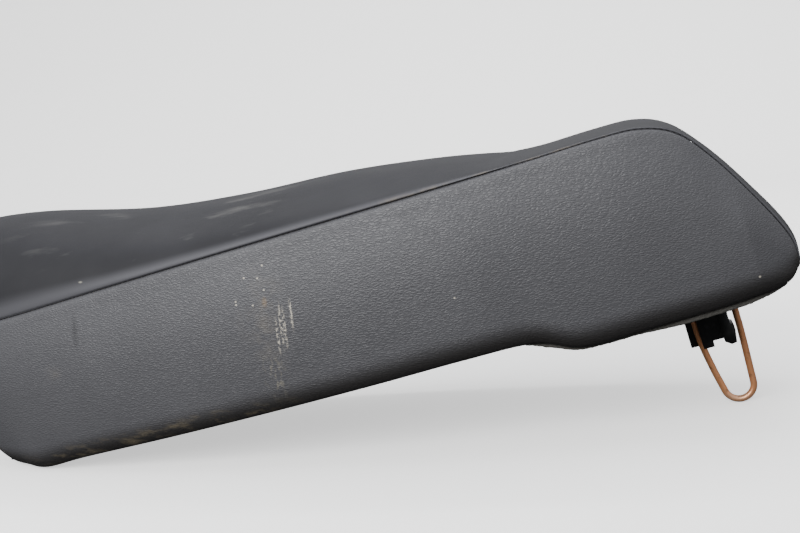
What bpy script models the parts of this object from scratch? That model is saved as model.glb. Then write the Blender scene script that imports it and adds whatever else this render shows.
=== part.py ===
"""Two-person seat of a scooter-style motorcycle, hinged at its nose and latched by a wire striker.

Metres, +Z up, +X towards the rear of the vehicle, +Y towards its right-hand side.
The origin is the middle of the frame leaf's flat foot, on the surface the seat stands on.
The seat itself is drawn in its own frame: origin on the hinge pin, X along the straight
lower edge of the front skirts, Z square to that edge. One empty tilts that frame.
"""
import math

import bpy
import bmesh
import numpy as np
from mathutils import Matrix, Vector

# ---- driving dimensions -------------------------------------------------------------
SEAT_REACH = 0.7505          # hinge pin to the rear seam corner, along the skirts
SEAT_WIDTH = 0.278           # over the widest part of the side panels
SEAM_HEIGHT = 0.1035         # front seam above the hinge pin, square to the skirts
SKIRT_DEPTH = 0.040          # straight lower edge of the front skirts below the pin
REAR_STEP = 0.018            # how much lower the rear part of the skirts hangs
CROWN_RISE = 0.0555          # rider's seat above the seam, at the front quarter
STAND_TILT = math.radians(11.2)   # slope of the skirts when the seat stands or is closed
PIN_HEIGHT = 0.0315          # hinge pin above the foot's underside
PIN_BACK = 0.030             # hinge pin in front of the middle of the foot

COVER = 0.0015               # vinyl with its knitted backing
PAN_WALL = 0.0025            # moulded polypropylene
GAP = 0.0003                 # between pieces that touch
CLOTH_GAP = 0.00045          # between the cover and the rim it wraps
SEAM_SETBACK = 0.0018        # each panel's edge to the seam line
PILLOW = 0.013               # how far a side panel bulges between its edges
HEM_HEIGHT = 0.013           # hem turned up inside the rim
NOSE_HEM = 0.005             # the same across the nose

RIM_HEIGHT = 0.020           # lower edge to the top of the flange
FLANGE_WIDTH = 0.022         # flange between the rim and the foot of the dome
DOME_SLOPE = 0.005           # half the width of the dome's sloping wall
LAND_UNDERSIDE = 0.018       # hinge land above the pin
DOME_UNDERSIDE = 0.040       # storage dome above the pin
STRIKER_UNDERSIDE = -0.045   # striker land, measured from the pin
FOAM_GAP = 0.0012            # between the foam and the pan
FOAM_INSET = 0.0043          # outer face of the cover to the foam

PIN_DIAMETER = 0.008
PIN_CLEARANCE = 0.0003       # radial
LEAF = 0.003                 # hinge sheet thickness
SEAT_LEAF_LENGTH = 0.052
SEAT_LEAF_WIDTH = 0.048
EAR_RADIUS = 0.009
FRAME_EAR_GAP = 0.022        # between the frame leaf's ears
EAR_PLAY = 0.0004            # between neighbouring ears
FOOT_LENGTH = 0.050
FOOT_WIDTH = 0.092
SLOT_WIDTH = 0.0068          # for M6 fixings
SLOT_DEPTH = 0.017
M6 = 0.006
M6_HOLE_CLEARANCE = 0.0004   # radial
M6_NUT = 0.010               # across flats
M6_NUT_HEIGHT = 0.005
M6_HEAD = 0.0105             # flange head diameter
M6_HEAD_HEIGHT = 0.0035
BOLT_PROUD = 0.002           # thread past its nut

WIRE = 0.006                 # striker wire diameter
STRIKER_BACK = 0.069         # striker bend in front of the rear seam corner
STRIKER_LEGS = 0.0365        # between the legs' centres, at the pan
STRIKER_BEND = 0.013         # centreline radius of the bend
WIRE_CLEARANCE = 0.0004      # radial, where the wire passes through something
STRIKER_PLATE = 0.002
GUIDE_FLANGE = 0.004
GUIDE_DEPTH = 0.059          # striker land to the web's lower edge
SCREW = 0.004
SCREW_HEAD = 0.0085

BUMPER = 0.016
BUMPER_HEIGHT = 0.013
BUMPER_GAP = 0.0007           # the flange isn't quite flat under a bumper
PEG = 0.006
STAPLE_SPAN = 0.010
STAPLE_WIRE = 0.0009
STAPLES_A_SIDE = 8

TABLE_STEPS = 2              # rings made for each row of the section table

SKIRT = -SKIRT_DEPTH
TAIL_EDGE = SKIRT - 0.002             # lower edge of the cover across the tail
REAR_SKIRT = SKIRT - REAR_STEP
HALF = SEAT_WIDTH / 2


# ---- scene helpers ------------------------------------------------------------------
def empty_scene():
    for old in list(bpy.data.objects):
        bpy.data.objects.remove(old, do_unlink=True)


def new_collection(name):
    group = bpy.data.collections.new(name)
    bpy.context.scene.collection.children.link(group)
    return group


empty_scene()
SEAT = new_collection("motorcycle_seat")
CUTTERS = new_collection("cutters")


def finish(name, red, green, blue, roughness, metallic=0.0):
    material = bpy.data.materials.new(name)
    material.use_nodes = True
    shader = material.node_tree.nodes["Principled BSDF"]
    shader.inputs["Base Color"].default_value = (red, green, blue, 1.0)
    shader.inputs["Roughness"].default_value = roughness
    shader.inputs["Metallic"].default_value = metallic
    return material


TOP_VINYL = finish("smooth_vinyl", 0.030, 0.030, 0.034, 0.55)
SIDE_VINYL = finish("grained_vinyl", 0.050, 0.050, 0.054, 0.50)
PAN_PLASTIC = finish("pan_polypropylene", 0.020, 0.020, 0.021, 0.60)
FOAM = finish("seat_foam", 0.62, 0.56, 0.38, 0.95)
RUBBER = finish("bumper_rubber", 0.015, 0.015, 0.015, 0.80)
SEAL = finish("edge_seal", 0.045, 0.045, 0.045, 0.90)
GUIDE_NYLON = finish("guide_nylon", 0.012, 0.012, 0.013, 0.40)
COPPER_WIRE = finish("coppered_wire", 0.58, 0.27, 0.14, 0.35, 1.0)
ZINC = finish("zinc_plate", 0.55, 0.55, 0.52, 0.40, 1.0)
HINGE_STEEL = finish("black_plate", 0.030, 0.030, 0.032, 0.45, 0.6)

pin_axis = bpy.data.objects.new("seat_hinge_axis", None)
pin_axis.location = (-PIN_BACK, 0.0, PIN_HEIGHT)
pin_axis.rotation_euler = (0.0, -STAND_TILT, 0.0)
SEAT.objects.link(pin_axis)
frame_axis = bpy.data.objects.new("frame_leaf_axis", None)
frame_axis.location = (-PIN_BACK, 0.0, PIN_HEIGHT)
SEAT.objects.link(frame_axis)


def add_part(name, mesh, material, parent, collection=SEAT, smooth=None):
    part = bpy.data.objects.new(name, mesh)
    mesh.materials.clear()
    if material:
        mesh.materials.append(material)
    part.parent = parent
    collection.objects.link(part)
    if smooth:
        mesh.shade_smooth()
        mesh.set_sharp_from_angle(angle=math.radians(smooth))
    return part


def add_cutter(name, mesh, parent):
    cutter = add_part(name, mesh, None, parent, CUTTERS)
    cutter.hide_render = True
    cutter.display_type = "WIRE"
    return cutter


def cut(part, cutter, how="DIFFERENCE"):
    modifier = part.modifiers.new(cutter.name, "BOOLEAN")
    modifier.object = cutter
    modifier.operation = how
    modifier.solver = "EXACT"


# ---- simple solids ------------------------------------------------------------------
def mesh_from(name, build):
    work = bmesh.new()
    build(work)
    mesh = bpy.data.meshes.new(name)
    work.to_mesh(mesh)
    work.free()
    return mesh


def box(name, low, high):
    low = Vector(low)
    high = Vector(high)

    def build(work):
        bmesh.ops.create_cube(work, size=1.0)
        bmesh.ops.scale(work, vec=high - low, verts=work.verts)
        bmesh.ops.translate(work, vec=(low + high) / 2, verts=work.verts)
    return mesh_from(name, build)


def cylinder(name, radius, low, high, centre=(0.0, 0.0), axis="Z", sides=24):
    """A solid cylinder from low to high along its axis; centre is its place across it."""
    def build(work):
        bmesh.ops.create_cone(work, cap_ends=True, segments=sides,
                              radius1=radius, radius2=radius, depth=high - low)
        bmesh.ops.translate(work, vec=(0, 0, (low + high) / 2), verts=work.verts)
        if axis == "Y":
            bmesh.ops.rotate(work, matrix=Matrix.Rotation(math.radians(-90), 3, "X"),
                             verts=work.verts)
            bmesh.ops.translate(work, vec=(centre[0], 0, centre[1]), verts=work.verts)
        else:
            bmesh.ops.translate(work, vec=(centre[0], centre[1], 0), verts=work.verts)
    return mesh_from(name, build)


def flat_plate(name, outline, low, high, axis="Y"):
    """A flat outline given in X and Z (or X and Y), thick from low to high along the axis."""
    curve = bpy.data.curves.new(name, "CURVE")
    curve.dimensions = "2D"
    curve.fill_mode = "BOTH"
    curve.extrude = (high - low) / 2
    spline = curve.splines.new("POLY")
    spline.points.add(len(outline) - 1)
    for point, (across, up) in zip(spline.points, outline):
        point.co = (across, up, 0.0, 1.0)
    spline.use_cyclic_u = True
    holder = bpy.data.objects.new(name, curve)
    CUTTERS.objects.link(holder)
    if axis == "Y":
        holder.rotation_euler = (math.radians(90), 0.0, 0.0)
        holder.location = (0.0, (low + high) / 2, 0.0)
    else:
        holder.location = (0.0, 0.0, (low + high) / 2)
    return solid_from_curve(holder)


def solid_from_curve(holder):
    bpy.context.view_layer.update()
    depsgraph = bpy.context.evaluated_depsgraph_get()
    mesh = bpy.data.meshes.new_from_object(holder.evaluated_get(depsgraph))
    mesh.transform(holder.matrix_world)
    bpy.data.objects.remove(holder, do_unlink=True)
    work = bmesh.new()
    work.from_mesh(mesh)
    bmesh.ops.remove_doubles(work, verts=work.verts, dist=0.00001)
    bmesh.ops.recalc_face_normals(work, faces=work.faces)
    work.to_mesh(mesh)
    work.free()
    return mesh


def turned(name, profile, material, parent, centre, flip=False, sides=20):
    """Screw a profile of (radius, height) points, listed from the top down, about Z."""
    def build(work):
        spots = [work.verts.new((radius, 0.0, height)) for radius, height in profile]
        for first, second in zip(spots, spots[1:]):
            work.edges.new((first, second))
    part = add_part(name, mesh_from(name, build), material, parent)
    part.location = centre
    if flip:
        part.rotation_euler = (math.radians(180), 0.0, 0.0)
    screw = part.modifiers.new("turn", "SCREW")
    screw.axis = "Z"
    screw.steps = sides
    screw.render_steps = sides
    screw.use_merge_vertices = True
    screw.merge_threshold = 0.0001
    screw.use_smooth_shade = True
    return part


def rounded_tab(radius, reach, half_root, steps=8):
    """Outline of an ear: a round end about the pin and straight sides up to a wide root."""
    outline = [(half_root[0], reach), (half_root[1], reach)]
    start = math.atan2(reach, half_root[1]) - math.acos(
        min(1.0, radius / math.hypot(reach, half_root[1])))
    end = math.atan2(reach, half_root[0]) + math.acos(
        min(1.0, radius / math.hypot(reach, half_root[0])))
    sweep = (end - start) % (2 * math.pi) - 2 * math.pi
    for step in range(steps + 1):
        angle = start + sweep * step / steps
        outline.append((radius * math.cos(angle), radius * math.sin(angle)))
    return outline


# ---- the seat's form ----------------------------------------------------------------
# Each row is one section round the seat: the seam, the crown on the centre line and the
# lowest point of the side panel, each as (x, z), then the half widths at seam and edge.
FRONT_RUN = 0.105
TAIL_RUN = SEAT_REACH - 0.2155


def mid(share):
    return FRONT_RUN + share * (TAIL_RUN - FRONT_RUN)


def tail(back):
    return SEAT_REACH - back


SEAM = SEAM_HEIGHT
RIDER = SEAM_HEIGHT + CROWN_RISE
SECTIONS = [
    ((-0.014, 0.012), (-0.032, 0.010), (-0.014, 0.012), 0.331, 0.331),
    ((-0.021, 0.045), (-0.047, 0.058), (0.000, -0.001), 0.403, 0.396),
    ((-0.017, 0.078), (-0.046, 0.116), (0.016, SKIRT + 0.022), 0.475, 0.446),
    ((0.006, SEAM - 0.0045), (-0.024, RIDER + 0.009), (0.034, SKIRT + 0.005), 0.554, 0.504),
    ((0.045, SEAM), (0.022, RIDER + 0.038), (0.058, SKIRT - 0.0025), 0.626, 0.576),
    ((0.100, SEAM), (0.090, RIDER + 0.030), (FRONT_RUN, SKIRT), 0.705, 0.662),
    ((mid(0.22), SEAM), (mid(0.22), RIDER), (mid(0.22), SKIRT), 0.806, 0.777),
    ((mid(0.45), SEAM - 0.0005), (mid(0.45), RIDER - 0.0155), (mid(0.45), SKIRT), 0.878, 0.856),
    ((mid(0.68), SEAM - 0.0015), (mid(0.68), RIDER - 0.0245), (mid(0.68), SKIRT), 0.906, 0.892),
    ((mid(0.87), SEAM - 0.0025), (mid(0.87), RIDER - 0.038), (mid(0.87), SKIRT), 0.899, 0.885),
    ((tail(0.2155), SEAM - 0.003), (tail(0.2155), RIDER - 0.051),
     (tail(0.2155), SKIRT - 0.003), 0.871, 0.849),
    ((tail(0.1765), SEAM - 0.003), (tail(0.1765), SEAM - 0.0025),
     (tail(0.1785), REAR_SKIRT + 0.001), 0.849, 0.827),
    ((tail(0.1255), SEAM - 0.003), (tail(0.1255), SEAM - 0.0027),
     (tail(0.1255), REAR_SKIRT), 0.820, 0.791),
    ((tail(0.0905), SEAM - 0.0055), (tail(0.0890), SEAM - 0.0050),
     (tail(0.0955), REAR_SKIRT), 0.791, 0.763),
    ((tail(0.0635), SEAM - 0.0175), (tail(0.0610), SEAM - 0.0163),
     (tail(0.0655), REAR_SKIRT), 0.763, 0.734),
    ((tail(0.0425), 0.060), (tail(0.0392), 0.0605), (tail(0.0425), REAR_SKIRT + 0.0005),
     0.734, 0.705),
    ((tail(0.0195), 0.020), (tail(0.0155), 0.020), (tail(0.0235), REAR_SKIRT + 0.0015),
     0.705, 0.676),
    ((tail(0.0025), -0.017), (tail(-0.0042), -0.0175), (tail(0.0095), REAR_SKIRT + 0.006),
     0.676, 0.662),
    ((tail(0.0), TAIL_EDGE + 0.001), (tail(-0.0042), TAIL_EDGE), (tail(0.0), TAIL_EDGE + 0.001),
     0.655, 0.655),
]


def smooth_rows(rows, steps):
    """A curve through every row of numbers, with the tangents of its neighbours."""
    padded = np.vstack([2 * rows[0] - rows[1], rows, 2 * rows[-1] - rows[-2]])
    out = []
    for index in range(1, len(padded) - 2):
        before, here, there, after = padded[index - 1:index + 3]
        for step in range(steps):
            t = step / steps
            out.append(0.5 * (2 * here + (there - before) * t
                              + (2 * before - 5 * here + 4 * there - after) * t ** 2
                              + (3 * here - before - 3 * there + after) * t ** 3))
    out.append(padded[-2])
    return np.array(out)


flat_rows = np.array([list(seam) + list(crown) + list(low) + [wide * HALF, narrow * HALF]
                      for seam, crown, low, wide, narrow in SECTIONS])
RINGS = smooth_rows(flat_rows, TABLE_STEPS)
LAST = len(RINGS) - 1
BAND_STEPS = 6
SIDE_STEPS = 5


def band_point(ring, turn):
    """A point of the top panel; turn runs from 0 at the seam to 1 on the crown."""
    seam_x, seam_z, crown_x, crown_z, _, _, half, _ = RINGS[ring]
    angle = turn * math.pi / 2
    rise = math.sin(angle)
    return Vector((seam_x + (crown_x - seam_x) * rise, half * math.cos(angle),
                   seam_z + (crown_z - seam_z) * rise))


def side_point(ring, drop):
    """A point of the side panel; drop runs from 0 at the seam to 1 at the lower edge."""
    seam_x, seam_z, _, _, low_x, low_z, half, low_half = RINGS[ring]
    height = math.hypot(seam_x - low_x, seam_z - low_z)
    bulge = PILLOW * min(1.0, height / 0.10) * max(0.0, math.sin(math.pi * drop)) ** 0.8
    return Vector((seam_x + (low_x - seam_x) * drop,
                   half + (low_half - half) * drop + bulge,
                   seam_z + (low_z - seam_z) * drop))


def pulled(point, towards, distance):
    return point + (towards - point).normalized() * distance


def mirrored(points, side):
    return [Vector((point.x, side * point.y, point.z)) for point in points]


BAND_TURNS = [step / BAND_STEPS for step in range(BAND_STEPS + 1)]
CLEAR = COVER + CLOTH_GAP                 # outer face of the cover to the pan's rim
WRAP = 2 * CLEAR + PAN_WALL + GAP         # outer face of the cover to the face of its hem


def lower_edge():
    """Right half of the seat's lowest line: nose centre, round the side, tail centre."""
    front = [band_point(0, turn) for turn in BAND_TURNS[:0:-1]]
    side = [side_point(ring, 1.0) for ring in range(LAST + 1)]
    back = [band_point(LAST, turn) for turn in BAND_TURNS[1:]]
    return front + side + back


def inset_edge(distance):
    """The lower edge moved in by a distance in plan, and up by it square to its slope."""
    edge = lower_edge()
    ends = [mirrored([edge[1]], -1)[0]] + edge + [mirrored([edge[-2]], -1)[0]]
    moved = []
    for before, point, after in zip(ends, edge, ends[2:]):
        first = Vector((point.x - before.x, point.y - before.y)).normalized()
        second = Vector((after.x - point.x, after.y - point.y)).normalized()
        normal_1 = Vector((first.y, -first.x))
        normal_2 = Vector((second.y, -second.x))
        shift = (normal_1 + normal_2) * (distance / (1 + normal_1.dot(normal_2)))
        run = math.hypot(after.x - before.x, after.y - before.y)
        lift = distance * math.hypot(1.0, (after.z - before.z) / run)
        moved.append((point.x + shift.x, point.y + shift.y, point.z, lift))
    return moved


FRONT_COUNT = BAND_STEPS                  # points of the lower edge before the first ring
RIM_EDGE = inset_edge(CLEAR)
HEM_EDGE = inset_edge(WRAP)


def split_quad(work, near_1, far_1, near_2, far_2, flip):
    """Two triangles on the diagonal from the near corner to the next row's far corner."""
    for corners in ((near_1, far_2, near_2), (near_1, far_1, far_2)):
        if len(set(corners)) == 3:
            work.faces.new(corners[::-1] if flip else corners)


def sheet_mesh(name, rows, outward):
    """Skin a grid of rows; outward is a point test for the side the faces look to."""
    work = bmesh.new()
    grid = [[work.verts.new(point) for point in row] for row in rows]
    for upper, lower in zip(grid, grid[1:]):
        middle = (len(upper) - 1) / 2
        for column in range(len(upper) - 1):
            near, far = (column, column + 1) if column >= middle else (column + 1, column)
            split_quad(work, upper[near], upper[far], lower[near], lower[far],
                       column >= middle)
    bmesh.ops.remove_doubles(work, verts=work.verts, dist=0.00002)
    bmesh.ops.dissolve_degenerate(work, edges=work.edges, dist=0.00002)
    work.normal_update()
    probe = max(work.faces, key=lambda face: face.calc_area())
    if outward(probe.calc_center_median(), probe.normal) < 0:
        bmesh.ops.reverse_faces(work, faces=work.faces)
    mesh = bpy.data.meshes.new(name)
    work.to_mesh(mesh)
    work.free()
    return mesh


def thicken(part, thickness):
    solid = part.modifiers.new("thickness", "SOLIDIFY")
    solid.thickness = thickness
    solid.offset = -1.0
    solid.use_even_offset = True
    solid.use_quality_normals = True


def cover_section(ring):
    """Seam to seam over the crown, with the edges set back from the seam line."""
    right = [band_point(ring, turn) for turn in BAND_TURNS]
    right[0] = pulled(right[0], right[1], SEAM_SETBACK)
    return mirrored(right, -1) + right[-2::-1]


def end_hem(inner, height):
    """Two rows of the top cover's hem at the nose or tail, clear of the side hems."""
    half = [Vector((x, y, z)) for x, y, z, lift in inner]
    half[:2] = [half[2], half[2]]
    row = mirrored(half, -1) + half[-2::-1]
    return [row, [point + Vector((0.0, 0.0, height)) for point in row]]


def top_cover_rows():
    rows = [cover_section(ring) for ring in range(LAST + 1)]
    nose = end_hem(HEM_EDGE[FRONT_COUNT::-1], NOSE_HEM)
    rear = end_hem(HEM_EDGE[-FRONT_COUNT - 1:], HEM_HEIGHT)
    return nose[::-1] + rows + rear


def side_cover_rows(side):
    rows = []
    for ring in range(2, LAST - 1):
        drops = [step / SIDE_STEPS for step in range(SIDE_STEPS)] + [0.97]
        points = [side_point(ring, drop) for drop in drops]
        points[0] = pulled(points[0], points[1], SEAM_SETBACK)
        edge = side_point(ring, 1.0)
        x, y, z, lift = HEM_EDGE[FRONT_COUNT + ring]
        inner = Vector((x, y, z))
        points.append(pulled(edge, inner, 0.001))
        points.append(pulled(inner, edge, 0.001))
        points.append(inner + Vector((0.0, 0.0, 0.0015)))
        share = min(1.0, 0.4 + 0.08 * (ring - 2))
        points.append(inner + Vector((0.0, 0.0, HEM_HEIGHT * share)))
        rows.append(mirrored(points, side))
    return rows


# ---- base pan -----------------------------------------------------------------------
def profile(x, knots):
    places, heights = zip(*knots)
    return float(np.interp(x, places, heights))


LAND_TOP = LAND_UNDERSIDE + PAN_WALL
DOME_TOP = DOME_UNDERSIDE + PAN_WALL
STRIKER_TOP = STRIKER_UNDERSIDE + PAN_WALL
TAIL_DECK = TAIL_EDGE + HEM_HEIGHT + PAN_WALL + 5 * GAP   # over the hem turned up at the tail
DOME_KNOTS = [(0.082, LAND_TOP), (0.118, DOME_TOP),
              (tail(0.205), DOME_TOP), (tail(0.150), STRIKER_TOP),
              (tail(0.036), STRIKER_TOP), (tail(0.008), TAIL_DECK)]


LEAF_PLAY = 0.0011           # between the seat leaf's sides and the land's sloping walls


def leaf_room(drop):
    """How far out the land's sloping wall must stand to clear the seat leaf under it."""
    if drop < GAP:
        return 0.0
    lean = PAN_WALL * math.tan(math.atan2(drop, 2 * DOME_SLOPE) / 2)
    return SEAT_LEAF_WIDTH / 2 + LEAF_PLAY + DOME_SLOPE + lean - 2 * DOME_SLOPE * GAP / drop


def flange_top(ring):
    if ring >= LAST - 2:
        return TAIL_DECK
    return min(RINGS[ring][5] + RIM_HEIGHT, LAND_TOP)


def pan_columns(ring):
    """Half a section of the pan's upper face, from the centre line out to the rim."""
    low_x = RINGS[ring][4]
    rim = RIM_EDGE[FRONT_COUNT + ring][1]
    foot = max(0.55 * rim, rim - FLANGE_WIDTH - DOME_SLOPE)
    top = profile(low_x, DOME_KNOTS)
    flange = flange_top(ring)
    if low_x < DOME_KNOTS[0][0]:
        foot = max(foot, leaf_room(top - flange))
    return [(0.0, top), (foot * 0.35, top), (foot * 0.65, top), (foot - DOME_SLOPE, top),
            (foot + DOME_SLOPE, flange), (rim, flange)]


def bow(ring, y):
    """How far the pan's rows swing forward or back to follow the nose and the tail."""
    rim_x, rim = RIM_EDGE[FRONT_COUNT + ring][:2]
    front = (RINGS[0][2] - RINGS[0][0]) * max(0.0, 1 - ring / 6)
    back = (RINGS[-1][2] - RINGS[-1][0]) * max(0.0, 1 - (LAST - ring) / 6)
    return rim_x + (front + back) * math.sqrt(max(0.0, 1 - (y / rim) ** 2))


def end_rim(edge, deck):
    """The rim's foot and its top across the nose or the tail, centre to corner."""
    foot = [Vector((x, y, z + lift)) for x, y, z, lift in edge]
    top = [Vector((x, y, deck)) for x, y, z, lift in edge[:-1]] + [foot[-1]]
    return [mirrored(row[:0:-1], -1) + row for row in (foot, top)]


def pan_rows():
    rows = end_rim(RIM_EDGE[:FRONT_COUNT + 1], LAND_TOP)
    for ring in range(1, LAST):
        x, rim, low_z, lift = RIM_EDGE[FRONT_COUNT + ring]
        points = [Vector((bow(ring, y), y, z)) for y, z in pan_columns(ring)]
        points.append(Vector((x, rim, low_z + lift)))
        rows.append(mirrored(points[:0:-1], -1) + points)
    deck = profile(SEAT_REACH, DOME_KNOTS)
    return rows + end_rim(RIM_EDGE[:-FRONT_COUNT - 2:-1], deck)[::-1]


def looks_up(centre, normal):
    return normal.z


def looks_out(centre, normal):
    return normal.y * (1 if centre.y > 0 else -1)


pan = add_part("base_pan", sheet_mesh("base_pan", pan_rows(), looks_up), PAN_PLASTIC, pin_axis,
               smooth=40)
thicken(pan, PAN_WALL)

# ---- covers -------------------------------------------------------------------------
cover_top = add_part("cover_top", sheet_mesh("cover_top", top_cover_rows(), looks_up),
                     TOP_VINYL, pin_axis, smooth=50)
thicken(cover_top, COVER)
for label, side in (("left", -1), ("right", 1)):
    skin = add_part("cover_" + label,
                    sheet_mesh("cover_" + label, side_cover_rows(side), looks_out),
                    SIDE_VINYL, pin_axis, smooth=50)
    thicken(skin, COVER)


# ---- foam ---------------------------------------------------------------------------
FOAM_RINGS = range(3, LAST - 3)


def surface_point(ring, place):
    """Down one side of the seat: place 0 to 1 is crown to seam, 1 to 2 seam to edge."""
    if place <= 1.0:
        return band_point(ring, 1.0 - place)
    return side_point(ring, place - 1.0)


def inside_point(ring, place):
    """The same point moved in by the foam's inset, square to the surface."""
    point = surface_point(ring, place)
    along = surface_point(ring + 1, place) - surface_point(ring - 1, place)
    before = surface_point(ring, max(0.0, place - 0.05))
    after = surface_point(ring, min(2.0, place + 0.05))
    normal = along.cross(after - before).normalized()
    middle = Vector((point.x, 0.0, RINGS[ring][5]))
    if ring < 8:
        middle.x = RINGS[8][4]
    if normal.dot(point - middle) < 0:
        normal.negate()
    moved = point - normal * FOAM_INSET
    if place == 0.0:
        moved.y = 0.0
    return moved


def foam_ring(ring):
    """Half a closed section of the cushion, inside the covers and on top of the pan."""
    seam_z, low_x, low_z = RINGS[ring][1], RINGS[ring][4], RINGS[ring][5]
    flat = pan_columns(ring)[:5]
    floor = flange_top(ring) + FOAM_GAP
    if low_x < DOME_KNOTS[0][0]:
        flat = [(y, LAND_TOP) for y, z in flat]
        floor = LAND_TOP + FOAM_GAP
    last_drop = min(0.97, (seam_z - floor) / (seam_z - low_z))
    half = [inside_point(ring, step / BAND_STEPS) for step in range(BAND_STEPS + 1)]
    half += [inside_point(ring, 1.0 + last_drop * step / 4) for step in range(1, 5)]
    half[-1].z = floor
    half += [Vector((low_x, y + FOAM_GAP * min(1.0, y / 0.01), z + FOAM_GAP))
             for y, z in flat[::-1]]
    return half


def foam_mesh():
    work = bmesh.new()
    halves = [foam_ring(ring) for ring in FOAM_RINGS]
    rings = []
    for half in halves:
        right = [work.verts.new(point) for point in half]
        left = [work.verts.new(point) for point in mirrored(half[-2:0:-1], -1)]
        rings.append(right + left)
    size = len(halves[0]) - 1
    for first, second in zip(rings, rings[1:]):
        count = len(first)
        for index in range(count):
            following = (index + 1) % count
            near, far = (following, index) if index < size else (index, following)
            split_quad(work, first[near], first[far], second[near], second[far],
                       index < size)
    for end in (rings[0], rings[-1]):
        work.faces.new(end)
    bmesh.ops.recalc_face_normals(work, faces=work.faces)
    mesh = bpy.data.meshes.new("foam_cushion")
    work.to_mesh(mesh)
    work.free()
    return mesh


foam = add_part("foam_cushion", foam_mesh(), FOAM, pin_axis, smooth=50)


def ring_at(x):
    """The ring whose lower edge lies nearest to x."""
    return min(range(LAST + 1), key=lambda ring: abs(RINGS[ring][4] - x))


def edge_at(x):
    """Lower edge height and half width at x."""
    places = RINGS[:, 4]
    return float(np.interp(x, places, RINGS[:, 5])), float(np.interp(x, places, RINGS[:, 7]))


# ---- hinge --------------------------------------------------------------------------
frame_ear = FRAME_EAR_GAP / 2
seat_ear = frame_ear + LEAF + EAR_PLAY
leaf_top = LAND_UNDERSIDE - GAP
leaf_front = -0.006
leaf_back = leaf_front + SEAT_LEAF_LENGTH
pin_hole = PIN_DIAMETER / 2 + PIN_CLEARANCE

seat_leaf = add_part("hinge_seat_leaf",
                     box("hinge_seat_leaf", (leaf_front, -SEAT_LEAF_WIDTH / 2, leaf_top - LEAF),
                         (leaf_back, SEAT_LEAF_WIDTH / 2, leaf_top)), HINGE_STEEL, pin_axis)
for label, low in (("left", -seat_ear - LEAF), ("right", seat_ear)):
    ear = flat_plate("seat_ear_" + label,
                     rounded_tab(EAR_RADIUS, leaf_top - LEAF / 2, (-0.0055, 0.022)),
                     low, low + LEAF)
    cut(seat_leaf, add_cutter("seat_ear_" + label, ear, pin_axis), "UNION")
pin_bore = add_cutter("seat_pin_bore", cylinder("seat_pin_bore", pin_hole, -0.05, 0.05,
                                                axis="Y"), pin_axis)
cut(seat_leaf, pin_bore)

foot_low = -PIN_HEIGHT
foot_front = PIN_BACK - FOOT_LENGTH / 2
foot_back = PIN_BACK + FOOT_LENGTH / 2
frame_leaf = add_part("hinge_frame_leaf",
                      box("hinge_frame_leaf", (foot_front, -FOOT_WIDTH / 2, foot_low),
                          (foot_back, FOOT_WIDTH / 2, foot_low + LEAF)), HINGE_STEEL, frame_axis)
for label, low in (("left", -frame_ear - LEAF), ("right", frame_ear)):
    tab = rounded_tab(EAR_RADIUS, PIN_HEIGHT - LEAF / 2, (-foot_back + 0.006, -foot_front - 0.001))
    turned_over = [(-across, -up) for across, up in tab]
    ear = flat_plate("frame_ear_" + label, turned_over, low, low + LEAF)
    cut(frame_leaf, add_cutter("frame_ear_" + label, ear, frame_axis), "UNION")
cut(frame_leaf, add_cutter("frame_pin_bore", cylinder("frame_pin_bore", pin_hole, -0.05, 0.05,
                                                      axis="Y"), frame_axis))
for label, side in (("left", -1), ("right", 1)):
    reach = side * FOOT_WIDTH / 2
    slot_end = side * (FOOT_WIDTH / 2 - SLOT_DEPTH)
    low_y, high_y = sorted((slot_end, reach + side * 0.005))
    slot = box("slot_" + label,
               (PIN_BACK - SLOT_WIDTH / 2, low_y, foot_low - 0.005),
               (PIN_BACK + SLOT_WIDTH / 2, high_y, foot_low + LEAF + 0.005))
    cut(frame_leaf, add_cutter("slot_" + label, slot, frame_axis))

pin_end = seat_ear + LEAF + 0.0055
pin_head = seat_ear + LEAF + GAP
clip_low = seat_ear + LEAF + GAP + 0.0002
clip = 0.0012
groove = PIN_DIAMETER / 2 - 0.0012
pin_radius = PIN_DIAMETER / 2
pin = turned("hinge_pin",
             [(0.0, pin_end), (pin_radius - 0.0008, pin_end), (pin_radius, pin_end - 0.0008),
              (pin_radius, clip_low + clip + GAP), (groove, clip_low + clip + GAP),
              (groove, clip_low - GAP + 0.0001), (pin_radius, clip_low - GAP + 0.0001),
              (pin_radius, -pin_head), (0.0062, -pin_head), (0.0062, -pin_head - 0.0022),
              (0.0052, -pin_head - 0.0032), (0.0, -pin_head - 0.0032)],
             ZINC, frame_axis, (0.0, 0.0, 0.0))
pin.rotation_euler = (math.radians(-90), 0.0, 0.0)

clip_outer = 0.0068
clip_inner = groove + GAP
clip_outline = []
for radius, order in ((clip_outer, range(13)), (clip_inner, range(12, -1, -1))):
    for step in order:
        angle = math.radians(-55 + 290 * step / 12)
        clip_outline.append((radius * math.cos(angle), radius * math.sin(angle)))
add_part("hinge_clip", flat_plate("hinge_clip", clip_outline, clip_low, clip_low + clip),
         ZINC, frame_axis)

spacer_half = FRAME_EAR_GAP / 2 - GAP
spacer_outer = EAR_RADIUS - 0.001
turned("hinge_spacer",
       [(pin_hole, spacer_half), (spacer_outer, spacer_half), (spacer_outer, -spacer_half),
        (pin_hole, -spacer_half), (pin_hole, spacer_half)],
       GUIDE_NYLON, frame_axis, (0.0, 0.0, 0.0)).rotation_euler = (math.radians(-90), 0.0, 0.0)

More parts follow.
